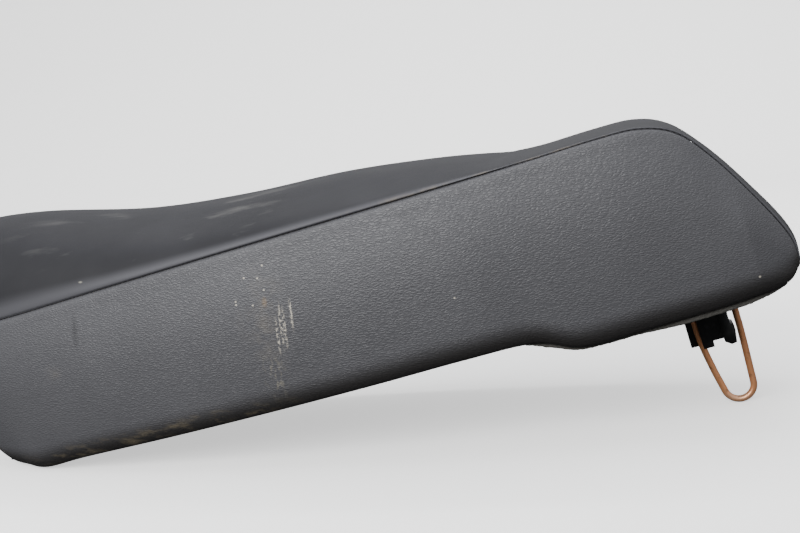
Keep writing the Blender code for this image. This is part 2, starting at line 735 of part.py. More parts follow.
m6_hole = M6 / 2 + M6_HOLE_CLEARANCE
nut_low = LAND_TOP + GAP
bolt_top = nut_low + M6_NUT_HEIGHT + BOLT_PROUD
bolt_places = [(leaf_back - 0.010, -0.5 * SEAT_LEAF_WIDTH + 0.010),
               (leaf_back - 0.010, 0.5 * SEAT_LEAF_WIDTH - 0.010)]


def nut_mesh(name, low, high, across, hole, x, y):
    outline = []
    for step in range(6):
        angle = math.radians(60 * step)
        outline.append((x + across / math.sqrt(3) * math.cos(angle),
                        y + across / math.sqrt(3) * math.sin(angle)))
    return flat_plate(name, outline, low, high, axis="Z")


for number, (x, y) in enumerate(bolt_places, 1):
    shank = cylinder("hole", m6_hole, -0.05, 0.08, (x, y), sides=16)
    hole = add_cutter("hinge_bolt_hole_%d" % number, shank, pin_axis)
    cut(seat_leaf, hole)
    cut(pan, hole)
    head_top = leaf_top - LEAF - GAP
    turned("hinge_bolt_%d" % number,
           [(0.0, bolt_top), (M6 / 2, bolt_top), (M6 / 2, head_top),
            (M6_HEAD / 2, head_top), (M6_HEAD / 2, head_top - 0.0012),
            (0.0045, head_top - 0.0014), (0.0045, head_top - M6_HEAD_HEIGHT),
            (0.0, head_top - M6_HEAD_HEIGHT)],
           ZINC, pin_axis, (x, y, 0.0), sides=12)
    nut = add_part("hinge_nut_%d" % number,
                   nut_mesh("hinge_nut_%d" % number, nut_low, nut_low + M6_NUT_HEIGHT,
                            M6_NUT, m6_hole, x, y), ZINC, pin_axis)
    cut(nut, hole)

pocket = box("hinge_pocket", (leaf_back - 0.022, -SEAT_LEAF_WIDTH / 2, LAND_TOP - 0.006),
             (leaf_back + 0.002, SEAT_LEAF_WIDTH / 2, bolt_top + 0.002))
cut(foam, add_cutter("hinge_pocket", pocket, pin_axis))

# ---- striker ------------------------------------------------------------------------
bend_x = SEAT_REACH - STRIKER_BACK
bend_outer = STRIKER_BEND + WIRE / 2
bend_z = (bend_outer - PIN_HEIGHT - bend_x * math.sin(STAND_TILT)) / math.cos(STAND_TILT)
rear_leg = bend_x + STRIKER_BEND + 0.002
front_leg = rear_leg - STRIKER_LEGS
plate_top = STRIKER_TOP + GAP + STRIKER_PLATE
striker_nut_low = plate_top + GAP
leg_top = striker_nut_low + M6_NUT_HEIGHT + BOLT_PROUD

route = [(front_leg, leg_top), (front_leg, bend_z + 0.050),
         (front_leg + 0.0012, bend_z + 0.038), (front_leg + 0.0042, bend_z + 0.020)]
for step in range(13):
    angle = math.radians(180 + 180 * step / 12)
    route.append((bend_x + STRIKER_BEND * math.cos(angle),
                  bend_z + STRIKER_BEND * math.sin(angle)))
route += [(rear_leg, bend_z + 0.050), (rear_leg, leg_top)]

wire = bpy.data.curves.new("striker_loop", "CURVE")
wire.dimensions = "3D"
wire.bevel_depth = WIRE / 2
wire.bevel_resolution = 2
wire.use_fill_caps = True
strand = wire.splines.new("POLY")
strand.points.add(len(route) - 1)
for point, (x, z) in zip(strand.points, route):
    point.co = (x, 0.0, z, 1.0)
loop = bpy.data.objects.new("striker_loop", wire)
CUTTERS.objects.link(loop)
add_part("striker_loop", solid_from_curve(loop), COPPER_WIRE, pin_axis, smooth=40)

land = STRIKER_UNDERSIDE - GAP
flange_low = land - GUIDE_FLANGE
web_low = land - GUIDE_DEPTH
post_front = front_leg + WIRE / 2 - 0.0015
post_back = post_front + 0.0095
prong_front = post_back + 0.0095
prong_back = prong_front + 0.0112
cheek = WIRE / 2 + WIRE_CLEARANCE + GAP
guide = add_part("guide_block",
                 box("guide_block", (front_leg - 0.016, -0.026, flange_low),
                     (rear_leg + 0.010, 0.026, land)), GUIDE_NYLON, pin_axis)
rear_wall = rear_leg - WIRE / 2 - WIRE_CLEARANCE
blocks = [
    ("guide_web", (post_back - 0.001, -0.010, web_low), (prong_front + 0.001, 0.0105, land - 0.001)),
    ("guide_back", (front_leg - 0.0080, cheek, web_low + 0.0005),
     (prong_front + 0.002, 0.0098, land - 0.0013)),
    ("guide_ear", (front_leg - 0.0086, cheek + 0.0004, web_low - 0.005),
     (front_leg - 0.0018, 0.018, land - 0.0016)),
    ("guide_post", (post_front, -0.0175, web_low - 0.0035),
     (post_back, -cheek, land - 0.0019)),
]
for name, low, high in blocks:
    cut(guide, add_cutter(name, box(name, low, high), pin_axis), "UNION")
prong_outline = [(prong_front, web_low - 0.0032), (prong_front + 0.005, web_low - 0.0068),
                 (prong_back - 0.0015, web_low - 0.006), (prong_back, web_low + 0.0045),
                 (prong_back, web_low + 0.0095), (prong_back - 0.0029, web_low + 0.0108),
                 (prong_back - 0.0029, land - 0.0022), (prong_front, land - 0.0022)]
cut(guide, add_cutter("guide_prong", flat_plate("guide_prong", prong_outline, -0.0115, 0.0112),
                      pin_axis), "UNION")

plate = add_part("striker_plate",
                 box("striker_plate", (front_leg - 0.011, -0.013, STRIKER_TOP + GAP),
                     (rear_leg + 0.011, 0.013, plate_top)), ZINC, pin_axis)
wire_hole = WIRE / 2 + WIRE_CLEARANCE
for label, x in (("front", front_leg), ("rear", rear_leg)):
    bore = add_cutter("striker_bore_" + label,
                      cylinder("striker_bore_" + label, wire_hole, flange_low - 0.002,
                               leg_top + 0.01, (x, 0.0), sides=16), pin_axis)
    for piece in (pan, guide, plate):
        cut(piece, bore)
    nut = add_part("striker_nut_" + label,
                   nut_mesh("striker_nut_" + label, striker_nut_low,
                            striker_nut_low + M6_NUT_HEIGHT, M6_NUT, wire_hole, x, 0.0),
                   ZINC, pin_axis)
    cut(nut, bore)

screw_x = prong_front + 0.003
screw_hole = SCREW / 2 + PIN_CLEARANCE
screw_top = STRIKER_TOP + 0.006
for label, side in (("left", -1), ("right", 1)):
    y = side * 0.0205
    hole = add_cutter("guide_screw_hole_" + label,
                      cylinder("guide_screw_hole_" + label, screw_hole, flange_low - 0.01,
                               screw_top + 0.005, (screw_x, y), sides=12), pin_axis)
    cut(guide, hole)
    cut(pan, hole)
    head = flange_low - GAP
    turned("guide_screw_" + label,
           [(0.0, screw_top), (SCREW / 2 - 0.001, screw_top - 0.0005),
            (SCREW / 2, screw_top - 0.002), (SCREW / 2, head), (SCREW_HEAD / 2, head),
            (SCREW_HEAD / 2 - 0.0008, head - 0.0016), (0.0, head - 0.0024)],
           ZINC, pin_axis, (screw_x, y, 0.0), sides=12)

pocket = box("striker_pocket", (front_leg - 0.013, -0.026, STRIKER_TOP - 0.006),
             (rear_leg + 0.013, 0.026, leg_top + 0.003))
cut(foam, add_cutter("striker_pocket", pocket, pin_axis))

# ---- rubber bumpers -----------------------------------------------------------------
BUMPER_PLACES = [("front", 0.150), ("middle", tail(0.290)), ("rear", tail(0.105))]
for place, x in BUMPER_PLACES:
    ring = ring_at(x)
    low_x = RINGS[ring][4]
    seat_face = flange_top(ring) - PAN_WALL - BUMPER_GAP
    y_bumper = RIM_EDGE[FRONT_COUNT + ring][1] - FLANGE_WIDTH / 2 - 0.0025
    for label, side in (("left", -1), ("right", 1)):
        name = "bumper_%s_%s" % (place, label)
        spot = (low_x, side * y_bumper, 0.0)
        peg_top = seat_face + BUMPER_GAP + PAN_WALL * 0.8
        turned(name,
               [(0.0, peg_top), (PEG / 2, peg_top), (PEG / 2, seat_face),
                (BUMPER / 2, seat_face), (BUMPER / 2, seat_face - BUMPER_HEIGHT + 0.0015),
                (BUMPER / 2 - 0.0015, seat_face - BUMPER_HEIGHT),
                (0.0, seat_face - BUMPER_HEIGHT)],
               RUBBER, pin_axis, spot, sides=16)
        hole = cylinder("hole_" + name, PEG / 2 + GAP, seat_face - 0.002, seat_face + 0.02,
                        (low_x, side * y_bumper), sides=12)
        cut(pan, add_cutter("hole_" + name, hole, pin_axis))

# ---- seal strip under the rear skirts -----------------------------------------------
STRIP_KNOTS = [(tail(0.223), 0.0008), (tail(0.208), 0.0040), (tail(0.168), 0.0014),
               (tail(0.138), 0.0016), (tail(0.098), 0.0045), (tail(0.045), 0.0045),
               (tail(0.014), 0.0010)]
STRIP_WIDTH = 0.0042


def strip_rows(side):
    rows = []
    start, end = STRIP_KNOTS[0][0], STRIP_KNOTS[-1][0]
    for x in np.linspace(start, end, 19):
        low_z, low_half = edge_at(x)
        outer = low_half - 0.0004
        top = low_z - 3 * GAP
        bottom = top - profile(x, STRIP_KNOTS)
        corners = [Vector((x, outer, top)), Vector((x, outer, bottom)),
                   Vector((x, outer - STRIP_WIDTH, bottom)),
                   Vector((x, outer - STRIP_WIDTH, top))]
        rows.append(mirrored(corners, side))
    return rows


def bar_mesh(name, rows):
    work = bmesh.new()
    rings = [[work.verts.new(point) for point in row] for row in rows]
    for first, second in zip(rings, rings[1:]):
        for index in range(4):
            following = (index + 1) % 4
            work.faces.new((first[index], second[index], second[following], first[following]))
    for end in (rings[0], rings[-1]):
        work.faces.new(end)
    bmesh.ops.recalc_face_normals(work, faces=work.faces)
    mesh = bpy.data.meshes.new(name)
    work.to_mesh(mesh)
    work.free()
    return mesh


for label, side in (("left", -1), ("right", 1)):
    name = "edge_seal_" + label
    add_part(name, bar_mesh(name, strip_rows(side)), SEAL, pin_axis)

# ---- staples ------------------------------------------------------------------------
hem_reach = WRAP + GAP
for label, side in (("left", -1), ("right", 1)):
    for number in range(STAPLES_A_SIDE):
        x = 0.135 + (tail(0.060) - 0.135) * number / (STAPLES_A_SIDE - 1)
        before = edge_at(x - STAPLE_SPAN / 2)
        after = edge_at(x + STAPLE_SPAN / 2)
        low_z, low_half = edge_at(x)
        name = "staple_%s_%d" % (label, number + 1)
        staple = add_part(name, box(name, (-STAPLE_SPAN / 2, -STAPLE_WIRE / 2, -STAPLE_WIRE / 2),
                                    (STAPLE_SPAN / 2, STAPLE_WIRE / 2, STAPLE_WIRE / 2)),
                          ZINC, pin_axis)
        turn = math.atan2(after[1] - before[1], STAPLE_SPAN)
        slope = math.atan2(after[0] - before[0], STAPLE_SPAN)
        staple.location = (x, side * (low_half - hem_reach - STAPLE_WIRE / 2 - GAP),
                           low_z + HEM_HEIGHT * 0.7)
        staple.rotation_euler = (0.0, -slope, side * turn)
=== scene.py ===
"""Two-person scooter seat: sewn vinyl covers, foam, moulded pan, front hinge and striker."""
import math
import random

import bmesh
import bpy
import numpy as np
from mathutils import Matrix, Vector, noise
from mathutils.bvhtree import BVHTree
from mathutils.kdtree import KDTree


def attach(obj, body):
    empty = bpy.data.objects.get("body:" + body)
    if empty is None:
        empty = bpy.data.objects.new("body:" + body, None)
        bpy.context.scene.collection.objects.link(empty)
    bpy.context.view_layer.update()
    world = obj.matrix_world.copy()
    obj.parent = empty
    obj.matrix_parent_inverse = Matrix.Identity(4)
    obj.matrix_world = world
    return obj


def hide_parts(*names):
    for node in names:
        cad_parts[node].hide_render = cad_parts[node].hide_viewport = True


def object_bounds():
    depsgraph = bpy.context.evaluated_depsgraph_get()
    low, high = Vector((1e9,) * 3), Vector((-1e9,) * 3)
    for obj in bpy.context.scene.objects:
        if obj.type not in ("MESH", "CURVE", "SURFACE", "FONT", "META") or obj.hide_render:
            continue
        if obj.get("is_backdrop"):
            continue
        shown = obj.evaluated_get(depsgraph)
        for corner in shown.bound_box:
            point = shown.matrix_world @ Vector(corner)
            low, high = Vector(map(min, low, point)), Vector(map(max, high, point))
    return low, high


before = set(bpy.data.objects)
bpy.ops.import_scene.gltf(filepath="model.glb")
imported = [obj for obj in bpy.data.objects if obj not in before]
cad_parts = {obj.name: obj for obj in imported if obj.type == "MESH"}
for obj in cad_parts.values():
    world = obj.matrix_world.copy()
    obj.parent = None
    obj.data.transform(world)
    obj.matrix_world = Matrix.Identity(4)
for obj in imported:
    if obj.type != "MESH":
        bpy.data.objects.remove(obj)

cad_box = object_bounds()
random.seed(7)

# ---- Floor, light and camera ---------------------------------------------------------
# A pale paper sweep, a broad soft light overhead and a weak fill, and a camera that looks
# at the left side from slightly above, rolled so that the seat runs up to the right.


def linear(code):
    """An sRGB hex colour as linear numbers."""
    parts = [int(code[at:at + 2], 16) / 255 for at in (1, 3, 5)]
    return [(part / 12.92 if part <= 0.04045 else ((part + 0.055) / 1.055) ** 2.4)
            for part in parts] + [1.0]


def add_node(tree, kind, feeds=(), **settings):
    """One node with its settings; feeds maps a socket to a value or to another socket."""
    made = tree.nodes.new(kind)
    for name, value in settings.items():
        setattr(made, name, value)
    for socket, value in dict(feeds).items():
        if isinstance(value, bpy.types.NodeSocket):
            tree.links.new(value, made.inputs[socket])
        else:
            made.inputs[socket].default_value = value
    return made


def new_finish(name, colour, roughness, metallic=0.0, specular=0.5):
    """A Principled material; returns it with its tree, its shader and Object coordinates."""
    made = bpy.data.materials.new(name)
    made.use_nodes = True
    tree = made.node_tree
    shader = tree.nodes["Principled BSDF"]
    shader.inputs["Base Color"].default_value = linear(colour)
    shader.inputs["Roughness"].default_value = roughness
    shader.inputs["Metallic"].default_value = metallic
    shader.inputs["Specular IOR Level"].default_value = specular
    place = add_node(tree, "ShaderNodeTexCoord").outputs["Object"]
    return made, tree, shader, place


def scale_for(millimetres):
    """A pattern's scale that makes each of its features this wide."""
    return 1000 / millimetres


def object_from(work, name, finish):
    """The bmesh as an object at the origin, with its finish."""
    mesh = bpy.data.meshes.new(name)
    work.to_mesh(mesh)
    work.free()
    made = bpy.data.objects.new(name, mesh)
    made.data.materials.append(finish)
    bpy.context.scene.collection.objects.link(made)
    return made


SWEEP_WIDTH = 9.0
SWEEP_FRONT = -4.0
SWEEP_BACK = 3.2
SWEEP_TOP = 4.5
SWEEP_BEND = 1.2

paper, tree, shader, place = new_finish("matt_paper", "#f4f4f2", 0.95, specular=0.1)
fibre = add_node(tree, "ShaderNodeTexNoise", {"Vector": place,
                                              "Scale": scale_for(11.11), "Detail": 3.0})
tone = add_node(tree, "ShaderNodeMix", {0: fibre.outputs[0], 6: linear("#f1f1ef"),
                                        7: linear("#f7f7f5")}, data_type="RGBA")
tree.links.new(tone.outputs[2], shader.inputs["Base Color"])
# The paper is lit from behind as well, like a light table.
shader.inputs["Emission Color"].default_value = linear("#fafafa")
shader.inputs["Emission Strength"].default_value = 0.9
work = bmesh.new()
first = [work.verts.new((-SWEEP_WIDTH / 2, SWEEP_FRONT, -0.0003)),
         work.verts.new((SWEEP_WIDTH / 2, SWEEP_FRONT, -0.0003))]
run = work.edges.new(first)
straight = bmesh.ops.extrude_edge_only(work, edges=[run])
moved = [item for item in straight["geom"] if isinstance(item, bmesh.types.BMVert)]
bmesh.ops.translate(work, vec=(0, SWEEP_BACK - SWEEP_BEND - SWEEP_FRONT, 0), verts=moved)
far_edge = [item for item in straight["geom"] if isinstance(item, bmesh.types.BMEdge)]
bent = bmesh.ops.spin(work, geom=far_edge, axis=(1, 0, 0), angle=math.pi / 2, steps=16,
                      cent=(0, SWEEP_BACK - SWEEP_BEND, SWEEP_BEND - 0.0003), use_merge=False)
last = [item for item in bent["geom_last"] if isinstance(item, bmesh.types.BMEdge)]
wall = bmesh.ops.extrude_edge_only(work, edges=last)
moved = [item for item in wall["geom"] if isinstance(item, bmesh.types.BMVert)]
bmesh.ops.translate(work, vec=(0, 0, SWEEP_TOP), verts=moved)
for face in work.faces:
    face.smooth = True
sweep = object_from(work, "paper_sweep", paper)
sweep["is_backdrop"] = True


def soft_light(name, place, aim, size, power, tint):
    lamp = bpy.data.lights.new(name, "AREA")
    lamp.shape = "RECTANGLE"
    lamp.size, lamp.size_y = size
    lamp.energy = power
    lamp.color = linear(tint)[:3]
    made = bpy.data.objects.new(name, lamp)
    made.location = place
    made.rotation_mode = "QUATERNION"
    made.rotation_quaternion = (Vector(aim) - Vector(place)).to_track_quat("-Z", "Y")
    bpy.context.scene.collection.objects.link(made)


soft_light("key", (-0.55, -2.3, 1.55), (0.35, 0.0, 0.12), (2.2, 1.6), 105.0, "#ffffff")
soft_light("overhead", (0.1, 0.2, 2.4), (0.35, 0.0, 0.1), (2.4, 2.0), 30.0, "#f7f9ff")
soft_light("backdrop", (0.35, 1.0, 2.6), (0.35, 3.2, 0.9), (3.4, 0.8), 70.0, "#ffffff")

# The room is bright above and dim below, so the rolled lower edges stay dark.
sweep.visible_diffuse = False
sweep.visible_glossy = False
sky = bpy.data.worlds.new("pale_room")
bpy.context.scene.world = sky
sky.use_nodes = True
tree = sky.node_tree
aim = add_node(tree, "ShaderNodeTexCoord").outputs["Generated"]
height = add_node(tree, "ShaderNodeSeparateXYZ", {0: aim}).outputs[2]
level = add_node(tree, "ShaderNodeMapRange", {"Value": height, "From Min": -0.25, "From Max": 0.45,
                                              "To Min": 0.05, "To Max": 0.85})
tree.nodes["Background"].inputs["Color"].default_value = linear("#f6f7fa")
tree.links.new(level.outputs[0], tree.nodes["Background"].inputs["Strength"])

CAMERA_TURN = math.radians(12.0)
CAMERA_LIFT = math.radians(8.0)
CAMERA_ROLL = math.radians(6.9)
CAMERA_REACH = 1.02
CAMERA_AIM = Vector((0.375, 0.0, 0.149))
back = Vector((math.sin(CAMERA_TURN) * math.cos(CAMERA_LIFT),
               -math.cos(CAMERA_TURN) * math.cos(CAMERA_LIFT), math.sin(CAMERA_LIFT)))
sideways = Vector((math.cos(CAMERA_TURN), math.sin(CAMERA_TURN), 0.0))
upright = sideways.cross(-back)
across = sideways * math.cos(CAMERA_ROLL) - upright * math.sin(CAMERA_ROLL)
upright = across.cross(-back)
lens = bpy.data.cameras.new("camera")
lens.lens = 49.5
lens.sensor_width = 36.0
camera = bpy.data.objects.new("camera", lens)
bpy.context.scene.collection.objects.link(camera)
camera.rotation_mode = "QUATERNION"
camera.rotation_quaternion = Matrix((across, upright, back)).transposed().to_quaternion()
camera.location = CAMERA_AIM + back * CAMERA_REACH
bpy.context.scene.camera = camera

# ---- Top cover -----------------------------------------------------------------------
# One panel of smooth upholstery vinyl on a knitted backing, drawn over the foam from the
# nose to the tail and turned under at both ends. It is cut flat and sewn to the sides.
REACH = 0.7505
HALF = 0.139
SEAM = 0.1035
RIDER = SEAM + 0.0555
SKIRT = -0.040
REAR_SKIRT = SKIRT - 0.018
TAIL_RUN = REACH - 0.2155
TILT = math.radians(11.2)
SEAT_PLACE = Matrix.Translation((-0.030, 0.0, 0.0315)) @ Matrix.Rotation(-TILT, 4, "Y")
PILLOW = 0.013
ROLL = 0.020                  # height over which the side cover rolls under
STEPS = 12


def mid(share):
    return 0.105 + share * (TAIL_RUN - 0.105)


def tail(back):
    return REACH - back


# Each row is a section: seam, crown and lowest line as (x, z), then the two half widths.
SECTIONS = [
    ((-0.014, 0.012), (-0.032, 0.010), (-0.014, 0.012), 0.331, 0.331),
    ((-0.021, 0.045), (-0.047, 0.058), (-0.001, -0.0070), 0.403, 0.396),
    ((-0.017, 0.078), (-0.046, 0.116), (0.014, SKIRT + 0.0115), 0.475, 0.446),
    ((0.006, SEAM - 0.0045), (-0.024, RIDER + 0.009), (0.034, SKIRT + 0.0032), 0.554, 0.504),
    ((0.045, SEAM), (0.022, RIDER + 0.038), (0.058, SKIRT - 0.0020), 0.626, 0.576),
    ((0.100, SEAM), (0.090, RIDER + 0.030), (0.105, SKIRT), 0.705, 0.662),
    ((mid(0.22), SEAM), (mid(0.22), RIDER), (mid(0.22), SKIRT), 0.806, 0.777),
    ((mid(0.45), SEAM - 0.0005), (mid(0.45), RIDER - 0.0155), (mid(0.45), SKIRT), 0.878, 0.856),
    ((mid(0.68), SEAM - 0.0015), (mid(0.68), RIDER - 0.0245), (mid(0.68), SKIRT), 0.906, 0.892),
    ((mid(0.87), SEAM - 0.0025), (mid(0.87), RIDER - 0.038), (mid(0.87), SKIRT), 0.899, 0.885),
    ((tail(0.2155), SEAM - 0.003), (tail(0.2155), RIDER - 0.051),
     (tail(0.2155), SKIRT - 0.003), 0.871, 0.849),
    ((tail(0.1765), SEAM - 0.003), (tail(0.1765), SEAM - 0.0025),
     (tail(0.1785), REAR_SKIRT + 0.001), 0.849, 0.827),
    ((tail(0.1255), SEAM - 0.003), (tail(0.1255), SEAM - 0.0027),
     (tail(0.1255), REAR_SKIRT), 0.820, 0.791),
    ((tail(0.0905), SEAM - 0.0055), (tail(0.0890), SEAM - 0.0050),
     (tail(0.0955), REAR_SKIRT), 0.791, 0.763),
    ((tail(0.0635), SEAM - 0.0175), (tail(0.0610), SEAM - 0.0163),
     (tail(0.0655), REAR_SKIRT), 0.763, 0.734),
    ((tail(0.0425), 0.060), (tail(0.0392), 0.0605), (tail(0.0425), REAR_SKIRT + 0.0005),
     0.734, 0.705),
    ((tail(0.0195), 0.020), (tail(0.0155), 0.020), (tail(0.0235), REAR_SKIRT + 0.0015),
     0.705, 0.676),
    ((tail(0.0025), -0.017), (tail(-0.0042), -0.0175), (tail(0.0095), REAR_SKIRT + 0.006),
     0.676, 0.662),
    ((tail(0.0), -0.041), (tail(-0.0042), -0.042), (tail(0.0), -0.041), 0.655, 0.655),
]
rows = np.array([list(seam) + list(crown) + list(low) + [wide * HALF, narrow * HALF]
                 for seam, crown, low, wide, narrow in SECTIONS])
padded_rows = np.vstack([2 * rows[0] - rows[1], rows, 2 * rows[-1] - rows[-2]])


def section_at(place):
    """The section's numbers at a place from 0 at the nose to 18 at the tail."""
    index = min(int(place), len(rows) - 2)
    t = place - index
    before, here, there, after = padded_rows[index:index + 4]
    return 0.5 * (2 * here + (there - before) * t
                  + (2 * before - 5 * here + 4 * there - after) * t ** 2
                  + (3 * here - before - 3 * there + after) * t ** 3)


RINGS = [section_at(step / STEPS) for step in range((len(rows) - 1) * STEPS + 1)]
LAST = len(RINGS) - 1


def band_point(ring, turn):
    """Top panel: turn is 0 at the seam and 1 on the crown."""
    seam_x, seam_z, crown_x, crown_z, _, _, half, _ = RINGS[ring]
    rise = math.sin(turn * math.pi / 2)
    return Vector((seam_x + (crown_x - seam_x) * rise, half * math.cos(turn * math.pi / 2),
                   seam_z + (crown_z - seam_z) * rise))


def side_point(ring, drop):
    """Side panel: drop is 0 at the seam and 1 at the lower edge."""
    seam_x, seam_z, _, _, low_x, low_z, half, low_half = RINGS[ring]
    height = math.hypot(seam_x - low_x, seam_z - low_z)
    scale = min(1.0, height / 0.10)
    if drop < 0.5:
        full = max(0.0, math.sin(math.pi * drop)) ** 0.8
    else:
        above = min(1.0, (1 - drop) * height / (ROLL * max(scale, 0.05)))
        full = (1 - 0.9 * (drop - 0.5) ** 2) * math.sqrt(max(0.0, above * (2 - above)))
    bulge = PILLOW * scale * full
    return Vector((seam_x + (low_x - seam_x) * drop, half + (low_half - half) * drop + bulge,
                   seam_z + (low_z - seam_z) * drop))


def normal_at(shape, ring, share):
    """Outward direction of a panel, from its neighbours."""
    near, far = max(ring - 1, 0), min(ring + 1, LAST)
    low, high = max(share - 0.01, 0.0), min(share + 0.01, 1.0)
    along = shape(far, share) - shape(near, share)
    over = shape(ring, high) - shape(ring, low)
    out = along.cross(over)
    if out.length < 1e-9:
        return Vector((0.0, 1.0, 0.0))
    out.normalize()
    middle = Vector((REACH / 2, 0.0, 0.03))
    return out if out.dot(shape(ring, share) - middle) > 0 else -out


TOP_NORMALS = [normal_at(band_point, ring, 0.02) for ring in range(LAST + 1)]
SIDE_NORMALS = [normal_at(side_point, ring, 0.03) for ring in range(LAST + 1)]
SEAM_NORMALS = [(top + side).normalized() for top, side in zip(TOP_NORMALS, SIDE_NORMALS)]
SEAM_DEPTH = 0.0015           # the sewn edges are drawn this far into the foam
SEAM_SPREAD = 0.0013          # and the vinyl rolls over to it within about this width
HEM = 0.0067                  # outer face of the cover to the face of its turned-up hem


def seam_pull(point, normal, ring, gap):
    """Draw a point near the seam into the groove; gap is its distance from the seam."""
    near = math.exp(-(gap / SEAM_SPREAD) ** 2)
    shoulder = 0.0004 * math.exp(-((gap - 0.0065) / 0.0035) ** 2)
    way = normal.lerp(SEAM_NORMALS[ring], near).normalized()
    return point - way * (SEAM_DEPTH * near - shoulder)


def inset_line(points, distance):
    """A line of points moved in by a distance in plan, with its corners mitred."""
    moved = []
    for index, point in enumerate(points):
        before = points[max(index - 1, 0)]
        after = points[min(index + 1, len(points) - 1)]
        way = Vector((after.x - before.x, after.y - before.y))
        if way.length < 1e-7:
            way = Vector((1.0, 0.0))
        way.normalize()
        moved.append(Vector((point.x + way.y * distance, point.y - way.x * distance, point.z)))
    return moved


NOSE_TURNS = [step / 24 for step in range(25)]
edge_line = ([band_point(0, turn) for turn in NOSE_TURNS[:0:-1]]
             + [side_point(ring, 1.0) for ring in range(LAST + 1)]
             + [band_point(LAST, turn) for turn in NOSE_TURNS[1:]])
hem_line = inset_line(edge_line, HEM)
FRONT_COUNT = len(NOSE_TURNS) - 1

# Distances from the seam, in metres, then even shares: close rows make the rolled edges.
CLOSE = [0.0, 0.0005, 0.0010, 0.0016, 0.0024, 0.0036, 0.006, 0.010]
TOP_SHARES = 22


def band_grid(ring, column):
    """Column counts from the left seam (0) over the crown to the right seam (last)."""
    close = len(CLOSE)
    half_count = close + TOP_SHARES
    side = -1 if column <= half_count else 1
    order = column if side < 0 else 2 * half_count - column
    width = max((band_point(ring, 1.0) - band_point(ring, 0.0)).length, 0.02) * 1.15
    start = min(CLOSE[-1] / width, 0.3)
    if order < close:
        turn = start * CLOSE[order] / CLOSE[-1]
    else:
        turn = start + (1 - start) * (order - close + 1) / (half_count - close + 1)
    turn = min(turn, 1.0)
    point = band_point(ring, turn)
    pulled = seam_pull(point, normal_at(band_point, ring, turn), ring, turn * width)
    if turn >= 1.0:
        pulled.y = 0.0
    return Vector((pulled.x, side * pulled.y, pulled.z)), turn * width


TOP_COLUMNS = 2 * (len(CLOSE) + TOP_SHARES)


def grid_of(columns, rings):
    """A flat grid to be shaped, with its vertices found by column and ring."""
    work = bmesh.new()
    work.verts.layers.float.new("seam_gap")
    work.verts.layers.float.new("drop")
    work.verts.layers.float.new("edge_gap")
    bmesh.ops.create_grid(work, x_segments=columns, y_segments=rings, size=1.0)
    spots = {}
    for vert in work.verts:
        spots[vert] = (round((vert.co.x + 1) / 2 * columns), round((vert.co.y + 1) / 2 * rings))
    return work, spots


def end_hem(ring, column, level):
    """Rows of the top cover's hem under the nose or up inside the tail."""
    half_count = TOP_COLUMNS / 2
    side = -1 if column <= half_count else 1
    order = column if side < 0 else TOP_COLUMNS - column
    share = band_share(order)
    index = FRONT_COUNT - round(share * FRONT_COUNT) if ring == 0 else (
        len(hem_line) - 1 - FRONT_COUNT + round(share * FRONT_COUNT))
    index = max(0, min(len(hem_line) - 1, index))
    base = hem_line[index]
    return Vector((base.x, side * abs(base.y), base.z + level))


def band_share(order):
    return min(1.0, order / (len(CLOSE) + TOP_SHARES))


work, spots = grid_of(TOP_COLUMNS, LAST + 4)
near_seam = work.verts.layers.float["seam_gap"]
for vert, (column, row) in spots.items():
    ring = min(max(row - 2, 0), LAST)
    spot, gap = band_grid(ring, column)
    if row < 2:
        spot = end_hem(0, column, 0.0005 if row == 1 else 0.005)
    elif row > LAST + 2:
        spot = end_hem(LAST, column, 0.0005 if row == LAST + 3 else 0.012)
    vert.co = spot
    vert[near_seam] = gap
top_work = work

# ---- Side covers ---------------------------------------------------------------------
# Two panels of grained vinyl, one each side, sewn along the top to the smooth panel. Each
# rolls under the pan's rim and its hem is stapled up inside.
SIDE_SHARES = 34
UNDER = [0.975, 0.988, 0.996, 1.0]
SIDE_COLUMNS = len(CLOSE) + SIDE_SHARES + len(UNDER) + 3


def side_grid(ring, column):
    """Column counts down from the seam, round the lower edge and up inside the rim."""
    seam_x, seam_z, _, _, low_x, low_z, _, _ = RINGS[ring]
    height = max(math.hypot(seam_x - low_x, seam_z - low_z), 0.004)
    close = len(CLOSE)
    start = min(CLOSE[-1] / height, 0.3)
    if column < close:
        drop = start * CLOSE[column] / CLOSE[-1]
    elif column < close + SIDE_SHARES:
        drop = start + (UNDER[0] - start) * (column - close + 1) / (SIDE_SHARES + 1)
    elif column < close + SIDE_SHARES + len(UNDER):
        drop = UNDER[column - close - SIDE_SHARES]
    else:
        drop = 1.0
    point = side_point(ring, drop)
    pulled = seam_pull(point, normal_at(side_point, ring, drop), ring, drop * height)
    beyond = column - (close + SIDE_SHARES + len(UNDER)) + 1
    if beyond > 0:
        inner = hem_line[FRONT_COUNT + ring]
        edge = side_point(ring, 1.0)
        tuck = min(1.0, height / 0.02)
        if beyond == 1:
            pulled = edge.lerp(inner, 0.5 * tuck) - Vector((0, 0, 0.0004))
        else:
            lift = 0.0008 if beyond == 2 else 0.013
            pulled = edge.lerp(inner, tuck) + Vector((0, 0, lift * tuck))
    return pulled, drop, drop * height, (1 - drop) * height


side_works = []
for side in (-1, 1):
    work, spots = grid_of(SIDE_COLUMNS, LAST)
    near_seam = work.verts.layers.float["seam_gap"]
    lowness = work.verts.layers.float["drop"]
    near_edge = work.verts.layers.float["edge_gap"]
    for vert, (column, ring) in spots.items():
        spot, drop, gap, left_over = side_grid(ring, column)
        vert.co = Vector((spot.x, side * spot.y, spot.z))
        vert[near_seam] = gap
        vert[lowness] = drop
        vert[near_edge] = left_over
    side_works.append(work)

